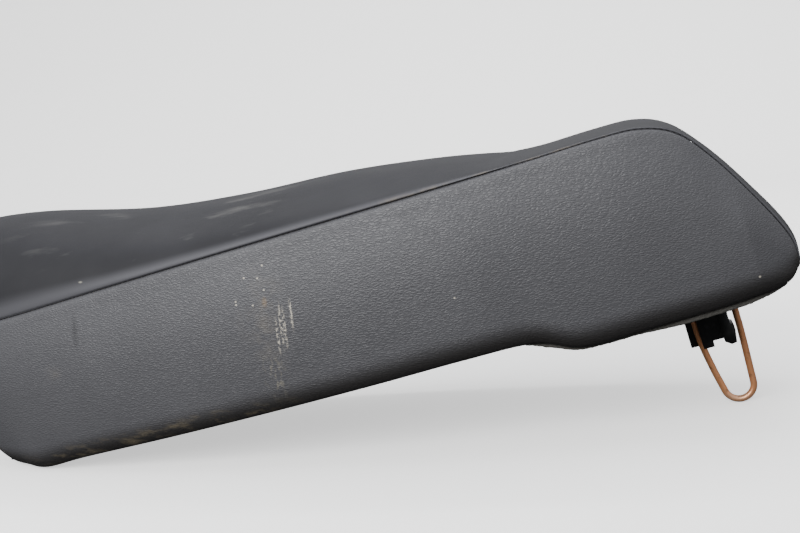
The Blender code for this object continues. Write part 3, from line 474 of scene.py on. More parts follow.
# ---- How the stuffed seat swells -----------------------------------------------------
# The foam presses the stitched covers outwards between their seams. A closed copy of the
# seat's form is blown up as cloth held along its seams, and its swelling is handed to the
# covers, which are then finished with their own seams.
VOXEL = 0.006
SWELL_LIMIT = 0.0013
SWELL_SHARE = 0.55
SEWN_WIDTH = 0.009            # the cloth is held this far either side of a seam
FOAM_PRESSURE = 4.0
CLOTH_FRAMES = 20
SEAM_FADE = 0.012             # the swelling dies out over this distance from the seam


def section_loop(ring, share):
    """Once round the seat's section, from the middle of its underside."""
    if share < 0.14:
        point = side_point(ring, 1.0)
        return Vector((point.x, -point.y * share / 0.14, point.z))
    if share > 0.86:
        point = side_point(ring, 1.0)
        return Vector((point.x, point.y * (1 - share) / 0.14, point.z))
    if share < 0.36:
        point = side_point(ring, 1 - (share - 0.14) / 0.22)
        return Vector((point.x, -point.y, point.z))
    if share > 0.64:
        return side_point(ring, (share - 0.64) / 0.22)
    turn = 1 - abs(share - 0.5) / 0.14
    point = band_point(ring, turn)
    return Vector((point.x, point.y if share > 0.5 else -point.y, point.z))


work, spots = grid_of(100, LAST // 2)
for vert, (column, row) in spots.items():
    vert.co = section_loop(row * 2, column / 100)
bmesh.ops.remove_doubles(work, verts=work.verts, dist=0.0003)
bmesh.ops.holes_fill(work, edges=[edge for edge in work.edges if edge.is_boundary], sides=0)
bmesh.ops.triangulate(work, faces=[face for face in work.faces if len(face.verts) > 4])
bmesh.ops.recalc_face_normals(work, faces=work.faces)
stuffed = object_from(work, "stuffed_form", paper)
bpy.context.view_layer.objects.active = stuffed
stuffed.select_set(True)
stuffed.data.remesh_voxel_size = VOXEL
bpy.ops.object.voxel_remesh()
held = KDTree(3 * (LAST + 1) * 2)
for ring in range(LAST + 1):
    for side in (-1, 1):
        for order, spot in enumerate((side_point(ring, 0.0), side_point(ring, 1.0),
                                      side_point(ring, 0.97))):
            held.insert(Vector((spot.x, side * spot.y, spot.z)), order)
held.balance()
group = stuffed.vertex_groups.new(name="sewn")
start = [vert.co.copy() for vert in stuffed.data.vertices]
for index, spot in enumerate(start):
    distance = held.find(spot)[2]
    weight = 1.0 if spot.z < -0.030 else max(0.0, 1 - distance / SEWN_WIDTH)
    group.add([index], weight, "REPLACE")
cloth = stuffed.modifiers.new("vinyl", "CLOTH")
cloth.settings.quality = 5
cloth.settings.mass = 0.5
cloth.settings.tension_stiffness = 12
cloth.settings.compression_stiffness = 12
cloth.settings.shear_stiffness = 6
cloth.settings.bending_stiffness = 0.6
cloth.settings.use_pressure = True
cloth.settings.uniform_pressure_force = FOAM_PRESSURE
cloth.settings.effector_weights.gravity = 0.0
cloth.settings.vertex_group_mass = "sewn"
cloth.collision_settings.use_collision = False
cloth.point_cache.frame_start = 1
cloth.point_cache.frame_end = CLOTH_FRAMES
for number in range(1, CLOTH_FRAMES + 1):
    bpy.context.scene.frame_set(number)
depsgraph = bpy.context.evaluated_depsgraph_get()
grown = stuffed.evaluated_get(depsgraph).to_mesh()
swelling = []
for vert, old in zip(grown.vertices, start):
    change = (vert.co - old) * SWELL_SHARE
    if change.length > SWELL_LIMIT:
        change.length = SWELL_LIMIT
    swelling.append(change)
finder = KDTree(len(start))
for index, spot in enumerate(start):
    finder.insert(spot, index)
finder.balance()
bpy.context.scene.frame_set(1)
bpy.data.objects.remove(stuffed, do_unlink=True)
for work in [top_work] + side_works:
    gap_layer = work.verts.layers.float["seam_gap"]
    drop_layer = work.verts.layers.float["drop"]
    for vert in work.verts:
        total = Vector()
        weights = 0.0
        for spot, index, distance in finder.find_n(vert.co, 6):
            weight = 1 / (distance + 0.002)
            total += swelling[index] * weight
            weights += weight
        fade = min(1.0, vert[gap_layer] / SEAM_FADE)
        if vert[drop_layer] > 0.94:
            fade *= max(0.0, (1 - vert[drop_layer]) / 0.06)
        vert.co += total / weights * fade

# ---- Finishes of the covers ----------------------------------------------------------
# Calendered PVC upholstery vinyl, charcoal. The top is smooth with a faint matt haze; the
# sides are embossed with a fine grain that lies lengthways. Both carry dust and scuffs.


def set_place(tree, place, centre, turn, stretch):
    """Object coordinates centred, turned about Y and scaled, for a mark or a grain."""
    moved = add_node(tree, "ShaderNodeVectorMath", {0: place, 1: centre}, operation="SUBTRACT")
    return add_node(tree, "ShaderNodeMapping",
                    {"Vector": moved.outputs[0], "Rotation": (0.0, turn, 0.0),
                     "Scale": stretch}).outputs[0]


def soft_patch(tree, place, centre, size, turn=0.0, edge=0.5):
    """A mask that is 1 in the middle of a rounded patch and 0 outside it."""
    shaped = set_place(tree, place, centre, turn, tuple(1 / side for side in size))
    far = add_node(tree, "ShaderNodeVectorMath", {0: shaped}, operation="LENGTH")
    return add_node(tree, "ShaderNodeMapRange",
                    {"Value": far.outputs["Value"], "From Min": edge, "From Max": 1.0,
                     "To Min": 1.0, "To Max": 0.0}, interpolation_type="SMOOTHSTEP").outputs[0]


def speckle(tree, place, width, low, high, stretch=(1, 1, 1), detail=4.0):
    """Blotches about this many millimetres wide: noise cut off between two levels."""
    shaped = add_node(tree, "ShaderNodeMapping", {"Vector": place, "Scale": stretch}).outputs[0]
    cloud = add_node(tree, "ShaderNodeTexNoise", {"Vector": shaped, "Scale": scale_for(width),
                                                  "Detail": detail, "Roughness": 0.62})
    return add_node(tree, "ShaderNodeMapRange", {"Value": cloud.outputs[0], "From Min": low,
                                                 "From Max": high}).outputs[0]


def laid_on(tree, base, colour, masks, strength=1.0):
    """A colour laid over the base where all its masks are bright, as wear or dirt lies."""
    cover = masks[0]
    for part in masks[1:] + ([strength] if strength < 1.0 else []):
        cover = add_node(tree, "ShaderNodeMath", {0: cover, 1: part},
                         operation="MULTIPLY").outputs[0]
    return add_node(tree, "ShaderNodeMix", {0: cover, 6: base, 7: linear(colour)},
                    data_type="RGBA").outputs[2]


def bumped(tree, shader, height, distance, strength, below=None):
    """Relief of this depth from a pattern, on top of any relief below it."""
    feeds = {"Height": height, "Distance": distance, "Strength": strength}
    if below:
        feeds["Normal"] = below
    raised = add_node(tree, "ShaderNodeBump", feeds).outputs[0]
    tree.links.new(raised, shader.inputs["Normal"])
    return raised


# The smooth vinyl: gloss is low and even, with a fine matt haze drawn at 1.2 mm to show.
smooth_vinyl, tree, shader, place = new_finish("smooth_calendered_vinyl", "#4d4d52", 0.52,
                                               specular=0.18)
seam_gap = add_node(tree, "ShaderNodeAttribute", attribute_name="seam_gap").outputs["Fac"]
cloudy = speckle(tree, place, 111.0, 0.35, 0.7)
skin = laid_on(tree, linear("#252528"), "#2c2c2f", [cloudy])
streaks = speckle(tree, place, 29.4, 0.56, 0.72, (0.3, 1.0, 1.0))
ridden = soft_patch(tree, place, (0.22, -0.07, 0.22), (0.24, 0.09, 0.06))
skin = laid_on(tree, skin, "#8b8a86", [streaks, ridden], 0.26)
mark = soft_patch(tree, place, (0.110, -0.105, 0.176), (0.0030, 0.03, 0.0013), 0.0, 0.0)
skin = laid_on(tree, skin, "#aaa698", [mark], 0.8)
# Painted highlight: the top panel is made lighter within about 2.4 cm of each seam, where it rounds
# over to the side.
painted_light_and_wear = add_node(tree, "ShaderNodeMapRange", {"Value": seam_gap, "From Min": 0.002,
                                               "From Max": 0.024, "To Min": 1.0,
                                               "To Max": 0.0},
                  interpolation_type="SMOOTHSTEP").outputs[0]
skin = laid_on(tree, skin, "#58585c", [painted_light_and_wear])
seam_dust = add_node(tree, "ShaderNodeMapRange", {"Value": seam_gap,
                                                  "From Min": 0.001, "From Max": 0.016,
                                                  "To Min": 1.0, "To Max": 0.0}).outputs[0]
settled = speckle(tree, place, 16.67, 0.48, 0.66)
behind_rider = soft_patch(tree, place, (0.47, -0.11, 0.235), (0.16, 0.08, 0.08))
skin = laid_on(tree, skin, "#857c70", [seam_dust, settled, behind_rider], 0.6)
tree.links.new(skin, shader.inputs["Base Color"])
haze = add_node(tree, "ShaderNodeTexNoise", {"Vector": place,
                                             "Scale": scale_for(1.17647), "Detail": 2.0})
gloss = add_node(tree, "ShaderNodeMapRange", {"Value": haze.outputs[0], "To Min": 0.42,
                                              "To Max": 0.58})
tree.links.new(gloss.outputs[0], shader.inputs["Roughness"])
fine = bumped(tree, shader, haze.outputs[0], 0.00008, 0.35)
waves = add_node(tree, "ShaderNodeTexNoise", {"Vector": place,
                                              "Scale": scale_for(38.46), "Detail": 2.0})
bumped(tree, shader, waves.outputs[0], 0.0006, 0.30, fine)

# The grained vinyl: pebbles 1.6 mm wide and 4.7 mm long, as pressed by the embossing roll.
# Real ones are finer, and are drawn this coarse so that they show.
grained_vinyl, tree, shader, place = new_finish("embossed_grain_vinyl", "#55555a", 0.50,
                                                specular=0.45)
along = set_place(tree, place, (0.0, 0.0, 0.0), TILT, (0.34, 1.0, 1.0))
wander = add_node(tree, "ShaderNodeTexNoise", {"Vector": along,
                                               "Scale": scale_for(3.3333), "Detail": 2.0})
shifted = add_node(tree, "ShaderNodeVectorMath", {0: wander.outputs["Color"],
                                                  1: (0.0016, 0.0016, 0.0016), 2: along},
                   operation="MULTIPLY_ADD").outputs[0]
cells = add_node(tree, "ShaderNodeTexVoronoi", {"Vector": shifted, "Scale": scale_for(1.6129)},
                 feature="DISTANCE_TO_EDGE")
folds = add_node(tree, "ShaderNodeMapRange", {"Value": cells.outputs["Distance"], "From Min": 0.0,
                                              "From Max": 0.28}, interpolation_type="SMOOTHSTEP")
wrinkles = add_node(tree, "ShaderNodeTexNoise", {"Vector": along,
                                                 "Scale": scale_for(2.3256), "Detail": 2.0,
                                                 "Roughness": 0.5})
grain = add_node(tree, "ShaderNodeMath", {0: folds.outputs[0], 1: 0.8,
                                          2: wrinkles.outputs[0]},
                 operation="MULTIPLY_ADD").outputs[0]
cloudy = speckle(tree, place, 143.0, 0.3, 0.7)
skin = laid_on(tree, linear("#4a4a4d"), "#525255", [cloudy])
# Painted shade: the creases between the grain's pebbles are darkened where the relief is low.
painted_crease_shade = add_node(tree, "ShaderNodeMapRange", {"Value": grain, "From Min": 0.45,
                                                "From Max": 0.95, "To Min": 0.16,
                                                "To Max": 0.0}).outputs[0]
skin = laid_on(tree, skin, "#252528", [painted_crease_shade])
edge_gap = add_node(tree, "ShaderNodeAttribute", attribute_name="edge_gap").outputs["Fac"]
# Painted shade: the side is darkened over the last 2.6 cm above its lower edge, where it rolls
# under, fully so in the last 6 mm.
under = add_node(tree, "ShaderNodeMapRange", {"Value": edge_gap,
                                              "From Min": 0.006, "From Max": 0.026,
                                              "To Min": 0.80, "To Max": 0.0},
                 interpolation_type="SMOOTHSTEP").outputs[0]
skin = laid_on(tree, skin, "#1f1c19", [under])
low_band = add_node(tree, "ShaderNodeMapRange", {"Value": edge_gap,
                                                 "From Min": 0.018, "From Max": 0.009}).outputs[0]
caked = speckle(tree, place, 9.09, 0.50, 0.72, (0.35, 1.0, 1.0))
splashed = soft_patch(tree, place, (0.17, -0.12, 0.025), (0.20, 0.10, 0.07))
skin = laid_on(tree, skin, "#8a7e66", [low_band, caked, splashed], 0.50)

# Chalky scuffs: three short rows of dots, a paler drag below them and a few stray dots.
CHALK = "#c4bdae"
grit = speckle(tree, place, 1.9231, 0.47, 0.55, (1.0, 1.0, 0.7), 2.0)
for x, z, tall in ((0.2945, 0.120, 0.020), (0.2985, 0.129, 0.026),
                   (0.3015, 0.126, 0.024), (0.3085, 0.139, 0.020)):
    row = soft_patch(tree, place, (x, -0.125, z), (0.0018, 0.05, tall), 0.03, 0.3)
    skin = laid_on(tree, skin, CHALK, [row, grit], 0.85)
drag = soft_patch(tree, place, (0.287, -0.125, 0.088), (0.014, 0.05, 0.030), 0.25, 0.1)
streaky = speckle(tree, place, 3.846, 0.50, 0.64, (1.0, 1.0, 0.35), 3.0)
skin = laid_on(tree, skin, "#96907f", [drag, streaky], 0.5)
for x, z in ((0.270, 0.170), (0.282, 0.169), (0.287, 0.179), (0.287, 0.159), (0.261, 0.151),
             (0.261, 0.1484), (0.276, 0.147), (0.681, 0.131), (0.445, 0.1395)):
    dot = soft_patch(tree, place, (x, -0.12, z), (0.0013, 0.05, 0.0011), 0.0, 0.4)
    skin = laid_on(tree, skin, CHALK, [dot], 0.85)
brown_spot = soft_patch(tree, place, (0.2865, -0.125, 0.149), (0.0035, 0.05, 0.006), -0.3, 0.2)
skin = laid_on(tree, skin, "#7e6a50", [brown_spot], 0.55)
film = soft_patch(tree, place, (0.285, -0.125, 0.135), (0.030, 0.05, 0.060), 0.0, 0.1)
mottled = speckle(tree, place, 14.286, 0.42, 0.65)
skin = laid_on(tree, skin, "#7b7469", [film, mottled], 0.30)
smear = soft_patch(tree, place, (0.101, -0.12, 0.134), (0.0045, 0.06, 0.022), 0.0, 0.1)
skin = laid_on(tree, skin, "#18181a", [smear], 0.4)
pale = soft_patch(tree, place, (0.072, -0.12, 0.098), (0.012, 0.06, 0.010), 0.0, 0.1)
patchy = speckle(tree, place, 16.67, 0.4, 0.7)
skin = laid_on(tree, skin, "#6c675f", [pale, patchy], 0.4)
tree.links.new(skin, shader.inputs["Base Color"])
gloss = add_node(tree, "ShaderNodeMapRange", {"Value": grain, "From Min": 0.4, "From Max": 1.1,
                                              "To Min": 0.58, "To Max": 0.42})
tree.links.new(gloss.outputs[0], shader.inputs["Roughness"])
fine = bumped(tree, shader, grain, 0.00030, 0.65)
waves = add_node(tree, "ShaderNodeTexNoise", {"Vector": place, "Scale": scale_for(45.45)})
bumped(tree, shader, waves.outputs[0], 0.0008, 0.3, fine)


VINYL_THICKNESS = 0.0014


def seat_in_place(work):
    """Tilt a finished piece from the seat's own level on to the hinge, and smooth it."""
    bmesh.ops.transform(work, matrix=SEAT_PLACE, verts=work.verts)
    for face in work.faces:
        face.smooth = True


def finish_cover(work, name, finish, nodes):
    bmesh.ops.remove_doubles(work, verts=work.verts, dist=0.00005)
    bmesh.ops.recalc_face_normals(work, faces=work.faces)
    work.normal_update()
    outward = sum(face.normal.dot(face.calc_center_median() - Vector((REACH / 2, 0.0, 0.02)))
                  * face.calc_area() for face in work.faces)
    if outward < 0:
        bmesh.ops.reverse_faces(work, faces=work.faces)
    seat_in_place(work)
    made = object_from(work, name, finish)
    wall = made.modifiers.new("cloth", "SOLIDIFY")
    wall.thickness = VINYL_THICKNESS
    wall.offset = -1.0
    rounded = made.modifiers.new("rounded", "SUBSURF")
    rounded.levels = 1
    rounded.render_levels = 1
    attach(made, "seat")
    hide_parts(*nodes)
    return made


finish_cover(top_work, "top_panel", smooth_vinyl, ["cover_top"])
for work, label in zip(side_works, ("left", "right")):
    finish_cover(work, "side_panel_" + label, grained_vinyl,
                 ["cover_" + label])


# ---- Stitching -----------------------------------------------------------------------
# A lockstitch of bonded polyester thread runs down both seams, 5 mm a stitch, pulled
# tight between the two panels so that it lies below the surface.
STITCH_PITCH = 0.0050
STITCH_LENGTH = 0.0036
THREAD = 0.0007

# Bonded polyester: near black, with a dull sheen. Its twist is drawn at 1.1 mm to show.
thread_finish, tree, shader, place = new_finish("bonded_polyester_thread", "#19191b", 0.62,
                                                specular=0.3)
twist = add_node(tree, "ShaderNodeTexWave", {"Vector": place,
                                             "Scale": scale_for(1.1111), "Distortion": 1.5},
                 bands_direction="DIAGONAL")
bumped(tree, shader, twist.outputs[0], 0.0001, 0.5)
ply = laid_on(tree, linear("#141416"), "#232326", [twist.outputs[0]])
tree.links.new(ply, shader.inputs["Base Color"])
for side, label in ((-1, "left"), (1, "right")):
    line = []
    for ring in range(LAST + 1):
        spot = band_point(ring, 0.0) - SEAM_NORMALS[ring] * SEAM_DEPTH * 0.72
        line.append(Vector((spot.x, side * spot.y, spot.z)))
    work = bmesh.new()
    run = 0.0
    wait = 0.0
    for before, after in zip(line, line[1:]):
        step = (after - before).length
        while step and wait <= run + step:
            spot = before.lerp(after, (wait - run) / step)
            stitch = bmesh.ops.create_uvsphere(work, u_segments=6, v_segments=4, radius=1.0)
            size = Vector((THREAD / 2, THREAD / 2, STITCH_LENGTH / 2))
            bmesh.ops.scale(work, vec=size, verts=stitch["verts"])
            turn = (after - before).normalized().to_track_quat("Z", "Y").to_matrix()
            bmesh.ops.rotate(work, matrix=turn, verts=stitch["verts"])
            bmesh.ops.translate(work, vec=spot, verts=stitch["verts"])
            wait += STITCH_PITCH
        run += step
    seat_in_place(work)
    seam_thread = object_from(work, "seam_stitches_" + label, thread_finish)
    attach(seam_thread, "seat")

# ---- Foam cushion --------------------------------------------------------------------
# One block of moulded polyurethane foam, hidden by the covers, that sits on the pan. Its
# mould leaves a pale skin with small open cells.
# Polyurethane foam: chalky and yellowed by age. Its fine cells are drawn at 1.4 mm to show.
foam_finish, tree, shader, place = new_finish("moulded_polyurethane_foam", "#d6c48c", 0.92,
                                              specular=0.15)
cells = add_node(tree, "ShaderNodeTexVoronoi", {"Vector": place, "Scale": scale_for(1.4286)})
bumped(tree, shader, cells.outputs["Distance"], 0.0006, 0.6)
aged = laid_on(tree, linear("#c9b477"), "#ddcd9a", [speckle(tree, place, 33.33, 0.3, 0.7)])
tree.links.new(aged, shader.inputs["Base Color"])


def copied(node):
    """A merged copy of a CAD node's mesh, with its flat faces whole again."""
    work = bmesh.new()
    work.from_mesh(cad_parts[node].data)
    bmesh.ops.remove_doubles(work, verts=work.verts, dist=0.00001)
    bmesh.ops.dissolve_limit(work, angle_limit=math.radians(1.0), verts=work.verts,
                             edges=work.edges)
    for face in work.faces:
        face.smooth = True
    return work


FOAM_SLACK = 0.0008           # the foam is drawn back from the stitches by this
work = copied("foam_cushion")
bmesh.ops.triangulate(work, faces=work.faces)
work.normal_update()
for vert in work.verts:
    vert.co -= vert.normal * FOAM_SLACK
foam_block = object_from(work, "foam_block", foam_finish)
foam_block.data.set_sharp_from_angle(angle=math.radians(50))
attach(foam_block, "seat")
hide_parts("foam_cushion")

# ---- Base pan ------------------------------------------------------------------------
# Injection-moulded black polypropylene: a rim that the covers wrap, a flange, a raised
# dome over the storage box and a low land for the striker. Its underside is spark-textured.
# Polypropylene: waxy black, broken up by the spark texture, with settled road dust.
pan_finish, tree, shader, place = new_finish("moulded_polypropylene", "#232324", 0.62,
                                             specular=0.4)
spark = add_node(tree, "ShaderNodeTexNoise", {"Vector": place,
                                              "Scale": scale_for(0.71429), "Detail": 2.0})
fine = bumped(tree, shader, spark.outputs[0], 0.00012, 0.6)
settled = add_node(tree, "ShaderNodeTexNoise", {"Vector": place,
                                                "Scale": scale_for(83.3), "Detail": 2.0})
bumped(tree, shader, settled.outputs[0], 0.0008, 0.3, fine)
greyed = laid_on(tree, linear("#202021"), "#2e2e2e", [speckle(tree, place, 71.4, 0.4, 0.75)])
greyed = laid_on(tree, greyed, "#6d675d", [speckle(tree, place, 14.286, 0.60, 0.80),
                                           speckle(tree, place, 111.0, 0.5, 0.7)])
tree.links.new(greyed, shader.inputs["Base Color"])
pan_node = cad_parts["base_pan"]
pan_node.data.materials.clear()
pan_node.data.materials.append(pan_finish)

RIB_DEPTH = 0.0035
RIB_THICKNESS = 0.0018
ceiling = BVHTree.FromPolygons([vert.co.copy() for vert in pan_node.data.vertices],
                               [tuple(face.vertices) for face in pan_node.data.polygons])


def rib_mesh(start, end, steps):
    """A strip that hangs from the pan's underside between two places (x, y)."""
    work = bmesh.new()
    bmesh.ops.create_grid(work, x_segments=steps, y_segments=1, size=1.0)
    for vert in work.verts:
        share = (vert.co.x + 1) / 2
        x = start[0] + (end[0] - start[0]) * share
        y = start[1] + (end[1] - start[1]) * share
        hit = ceiling.ray_cast(Vector((x, y, -0.05)), Vector((0, 0, 1)), 1.0)[0]
        fade = min(1.0, 12 * share * (1 - share) + 0.25)
        drop = -RIB_DEPTH * fade if vert.co.y < 0 else 0.0008
        vert.co = Vector((x, y, hit.z + drop))
    bmesh.ops.solidify(work, geom=work.faces[:], thickness=RIB_THICKNESS)
    bmesh.ops.recalc_face_normals(work, faces=work.faces)
    mesh = bpy.data.meshes.new("rib")
    work.to_mesh(mesh)
    work.free()
    return mesh


work = bmesh.new()
for y in (-0.036, 0.0, 0.036):
    work.from_mesh(rib_mesh((0.115, y), (0.470, y), 40))
for x in (0.140, 0.200, 0.260, 0.320, 0.380, 0.440):
    work.from_mesh(rib_mesh((x, -0.052), (x, 0.052), 16))
pan_ribs = object_from(work, "pan_ribs", pan_finish)
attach(pan_ribs, "seat")

# ---- Staples -------------------------------------------------------------------------
# Galvanised wire staples, 10 mm wide, shot through the hem into the pan's rim about every
# 26 mm. Their legs are sunk, so only the crowns and shoulders show.
STAPLE_PITCH = 0.026
STAPLE_WIRE = 0.0009
STAPLE_SPAN = 0.010
STAPLE_HEIGHT = 0.0091        # the row's height above the seat's lowest line
STAPLE_SINK = 0.0030
STAPLE_SHOULDER = 0.0006
STAPLE_CORNER = 0.0008

# Galvanised wire: bright grey metal that has dulled, with specks of rust.
staple_finish, tree, shader, place = new_finish("galvanised_wire", "#a9aaa7", 0.42, 1.0)
dulled = laid_on(tree, linear("#8e8f8c"), "#b6b7b4", [speckle(tree, place, 2.5, 0.35, 0.7)])
dulled = laid_on(tree, dulled, "#6a4a30", [speckle(tree, place, 4.167, 0.62, 0.72)], 0.6)
tree.links.new(dulled, shader.inputs["Base Color"])


def drawn_wire(work, points, radius, sides):
    """Round wire through a line of points: a circle extruded from each to the next."""
    ring = bmesh.ops.create_circle(work, segments=sides, radius=radius)
    heading = Vector((0.0, 0.0, 1.0))
    verts = ring["verts"]
    edges = list({edge for vert in verts for edge in vert.link_edges})
    first_edges = edges
    at = Vector((0.0, 0.0, 0.0))
    for index, point in enumerate(points):
        before = points[max(index - 1, 0)]
        after = points[min(index + 1, len(points) - 1)]
        if index:
            grown = bmesh.ops.extrude_edge_only(work, edges=edges)["geom"]
            verts = [item for item in grown if isinstance(item, bmesh.types.BMVert)]
            edges = [item for item in grown if isinstance(item, bmesh.types.BMEdge)
                     and item.verts[0] in verts and item.verts[1] in verts]
        way = (after - before).normalized()
        bmesh.ops.rotate(work, cent=at, matrix=heading.rotation_difference(way).to_matrix(),
                         verts=verts)
        bmesh.ops.translate(work, vec=point - at, verts=verts)
        heading, at = way, point
    bmesh.ops.holes_fill(work, edges=first_edges + edges, sides=0)


LOW_X = [ring[4] for ring in RINGS]


def edge_at(x):
    """Lowest line of the side at x: its height and half width."""
    return (float(np.interp(x, LOW_X, [ring[5] for ring in RINGS])),
            float(np.interp(x, LOW_X, [ring[7] for ring in RINGS])))


for side, label in ((-1, "left"), (1, "right")):
    work = bmesh.new()
    x = 0.125
    while x < tail(0.050):
        low_z, low_half = edge_at(x)
        after_z, after_half = edge_at(x + 0.004)
        way = Vector((0.004, side * (after_half - low_half), after_z - low_z)).normalized()
        tilt = Vector((0.0, 0.0, 1.0)) * random.uniform(-0.0012, 0.0012)
        inward = Vector((0.0, -side, 0.0))
        centre = Vector((x, side * (low_half - HEM - 0.0004), low_z + STAPLE_HEIGHT)) + tilt
        out = STAPLE_WIRE * 0.5
        half_span = STAPLE_SPAN / 2
        path = [centre - way * half_span - inward * STAPLE_SINK + inward * out,
                centre - way * half_span - inward * STAPLE_SHOULDER + inward * out,
                centre - way * (half_span - STAPLE_CORNER) + inward * out,
                centre + tilt * 0.4 + inward * out,
                centre + way * (half_span - STAPLE_CORNER) + inward * out,
                centre + way * half_span - inward * STAPLE_SHOULDER + inward * out,
                centre + way * half_span - inward * STAPLE_SINK + inward * out]
        drawn_wire(work, path, STAPLE_WIRE / 2, 6)
        x += STAPLE_PITCH + random.uniform(-0.002, 0.002)
    bmesh.ops.recalc_face_normals(work, faces=work.faces)
    seat_in_place(work)
    row = object_from(work, "staples_" + label, staple_finish)
    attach(row, "seat")
    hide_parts(*["staple_%s_%d" % (label, number) for number in range(1, 9)])

# ---- Edge seals ----------------------------------------------------------------------
# Strips of cellular rubber glued under the lower edge at the rear. Their cut face is
# rough and torn in places, and dusty.
SEAL_WIDTH = 0.0046
SEAL_STATIONS = 170
SEAL_SIDES = 12
SEAL_KNOTS = [(tail(0.223), 0.0008), (tail(0.208), 0.0040), (tail(0.168), 0.0014),
              (tail(0.138), 0.0016), (tail(0.098), 0.0045), (tail(0.045), 0.0045),
              (tail(0.014), 0.0010)]

# Cellular rubber: no gloss at all, and a torn surface that holds pale dust.
seal_finish, tree, shader, place = new_finish("cellular_rubber", "#403f3d", 0.93, specular=0.2)
torn = add_node(tree, "ShaderNodeTexNoise", {"Vector": place,
                                             "Scale": scale_for(1.5385), "Detail": 5.0,
                                             "Roughness": 0.7})
bumped(tree, shader, torn.outputs[0], 0.0009, 1.0)
dusted = laid_on(tree, linear("#302f2e"), "#6b6964", [torn.outputs[0]])
tree.links.new(dusted, shader.inputs["Base Color"])
for side, label in ((-1, "left"), (1, "right")):
    work, spots = grid_of(SEAL_SIDES, SEAL_STATIONS)
    start, end = SEAL_KNOTS[0][0], SEAL_KNOTS[-1][0]
    for vert, (column, station) in spots.items():
        x = start + (end - start) * station / SEAL_STATIONS
        low_z, low_half = edge_at(x)
        depth = float(np.interp(x, *zip(*SEAL_KNOTS)))
        angle = 2 * math.pi * (column % SEAL_SIDES) / SEAL_SIDES
        across_share = math.copysign(abs(math.cos(angle)) ** 0.55, math.cos(angle))
        up_share = math.copysign(abs(math.sin(angle)) ** 0.55, math.sin(angle))
        rough = noise.noise(Vector((x * 420, column % SEAL_SIDES * 0.7, side * 9.0))) * 0.0005
        top = low_z + 0.0006
        bottom = low_z - depth
        out = low_half - 0.0006 - SEAL_WIDTH / 2 + across_share * (SEAL_WIDTH / 2 + rough)
        half_depth = (top - bottom) / 2 + rough * (up_share < 0)
        vert.co = Vector((x, side * out, (top + bottom) / 2 + up_share * half_depth))
    bmesh.ops.remove_doubles(work, verts=work.verts, dist=0.00001)
    bmesh.ops.holes_fill(work, edges=[edge for edge in work.edges if edge.is_boundary], sides=0)
    bmesh.ops.recalc_face_normals(work, faces=work.faces)
    seat_in_place(work)
    strip = object_from(work, "seal_strip_" + label, seal_finish)
    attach(strip, "seat")
    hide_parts("edge_seal_" + label)

# ---- Striker loop --------------------------------------------------------------------
# A U of 6 mm steel wire, bent cold and plated with a copper-toned finish, threaded at both
# ends. The latch rubs the inside of the bend.
WIRE = 0.006
BEND_X = tail(0.069)
BEND = 0.013
BEND_Z = (BEND + WIRE / 2 - 0.0315 - BEND_X * math.sin(TILT)) / math.cos(TILT)
REAR_LEG = BEND_X + BEND + 0.002
FRONT_LEG = REAR_LEG - 0.0365
LEG_TOP = -0.0329

# Copper-toned plating: a warm, half-bright metal with drawing lines along the wire.
wire_finish, tree, shader, place = new_finish("copper_toned_wire", "#c88a60", 0.36, 0.60)
drawn = add_node(tree, "ShaderNodeTexNoise",
                 {"Vector": set_place(tree, place, (0.0, 0.0, 0.0), 0.0, (6.0, 6.0, 0.35)),
                  "Scale": scale_for(3.3333), "Detail": 3.0})
bumped(tree, shader, drawn.outputs[0], 0.00012, 0.5)
toned = laid_on(tree, linear("#de8e5a"), "#f4b78a", [drawn.outputs[0]])
toned = laid_on(tree, toned, "#6b3f27", [speckle(tree, place, 5.882, 0.56, 0.72)], 0.65)
# Worn paler at the foot of the bend, where the latch rubs.
painted_light_and_wear = soft_patch(tree, place, (0.6655, 0.0, 0.006), (0.020, 0.02, 0.010), 0.0, 0.2)
toned = laid_on(tree, toned, "#d8b79a", [painted_light_and_wear], 0.5)
tree.links.new(toned, shader.inputs["Base Color"])
dull = add_node(tree, "ShaderNodeMapRange", {"Value": drawn.outputs[0], "To Min": 0.26,
                                             "To Max": 0.48})
tree.links.new(dull.outputs[0], shader.inputs["Roughness"])

route = [(FRONT_LEG, LEG_TOP), (FRONT_LEG, BEND_Z + 0.075), (FRONT_LEG, BEND_Z + 0.055),
         (FRONT_LEG + 0.0009, BEND_Z + 0.042), (FRONT_LEG + 0.0026, BEND_Z + 0.030),
         (FRONT_LEG + 0.0049, BEND_Z + 0.016), (FRONT_LEG + 0.0074, BEND_Z + 0.004)]
for step in range(1, 24):
    angle = math.radians(180 + 180 * step / 24)
    route.append((BEND_X + BEND * math.cos(angle), BEND_Z + BEND * math.sin(angle)))
route += [(BEND_X + BEND + 0.0002, BEND_Z + 0.004), (BEND_X + BEND + 0.0008, BEND_Z + 0.018),
          (BEND_X + BEND + 0.0015, BEND_Z + 0.034), (REAR_LEG, BEND_Z + 0.050), (REAR_LEG, LEG_TOP)]
work = bmesh.new()
drawn_wire(work, [Vector((x, 0.0, z)) for x, z in route], WIRE / 2, 24)
bmesh.ops.recalc_face_normals(work, faces=work.faces)
seat_in_place(work)
striker = object_from(work, "striker_wire", wire_finish)
striker.data.set_sharp_from_angle(angle=math.radians(50))
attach(striker, "seat")
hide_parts("striker_loop")

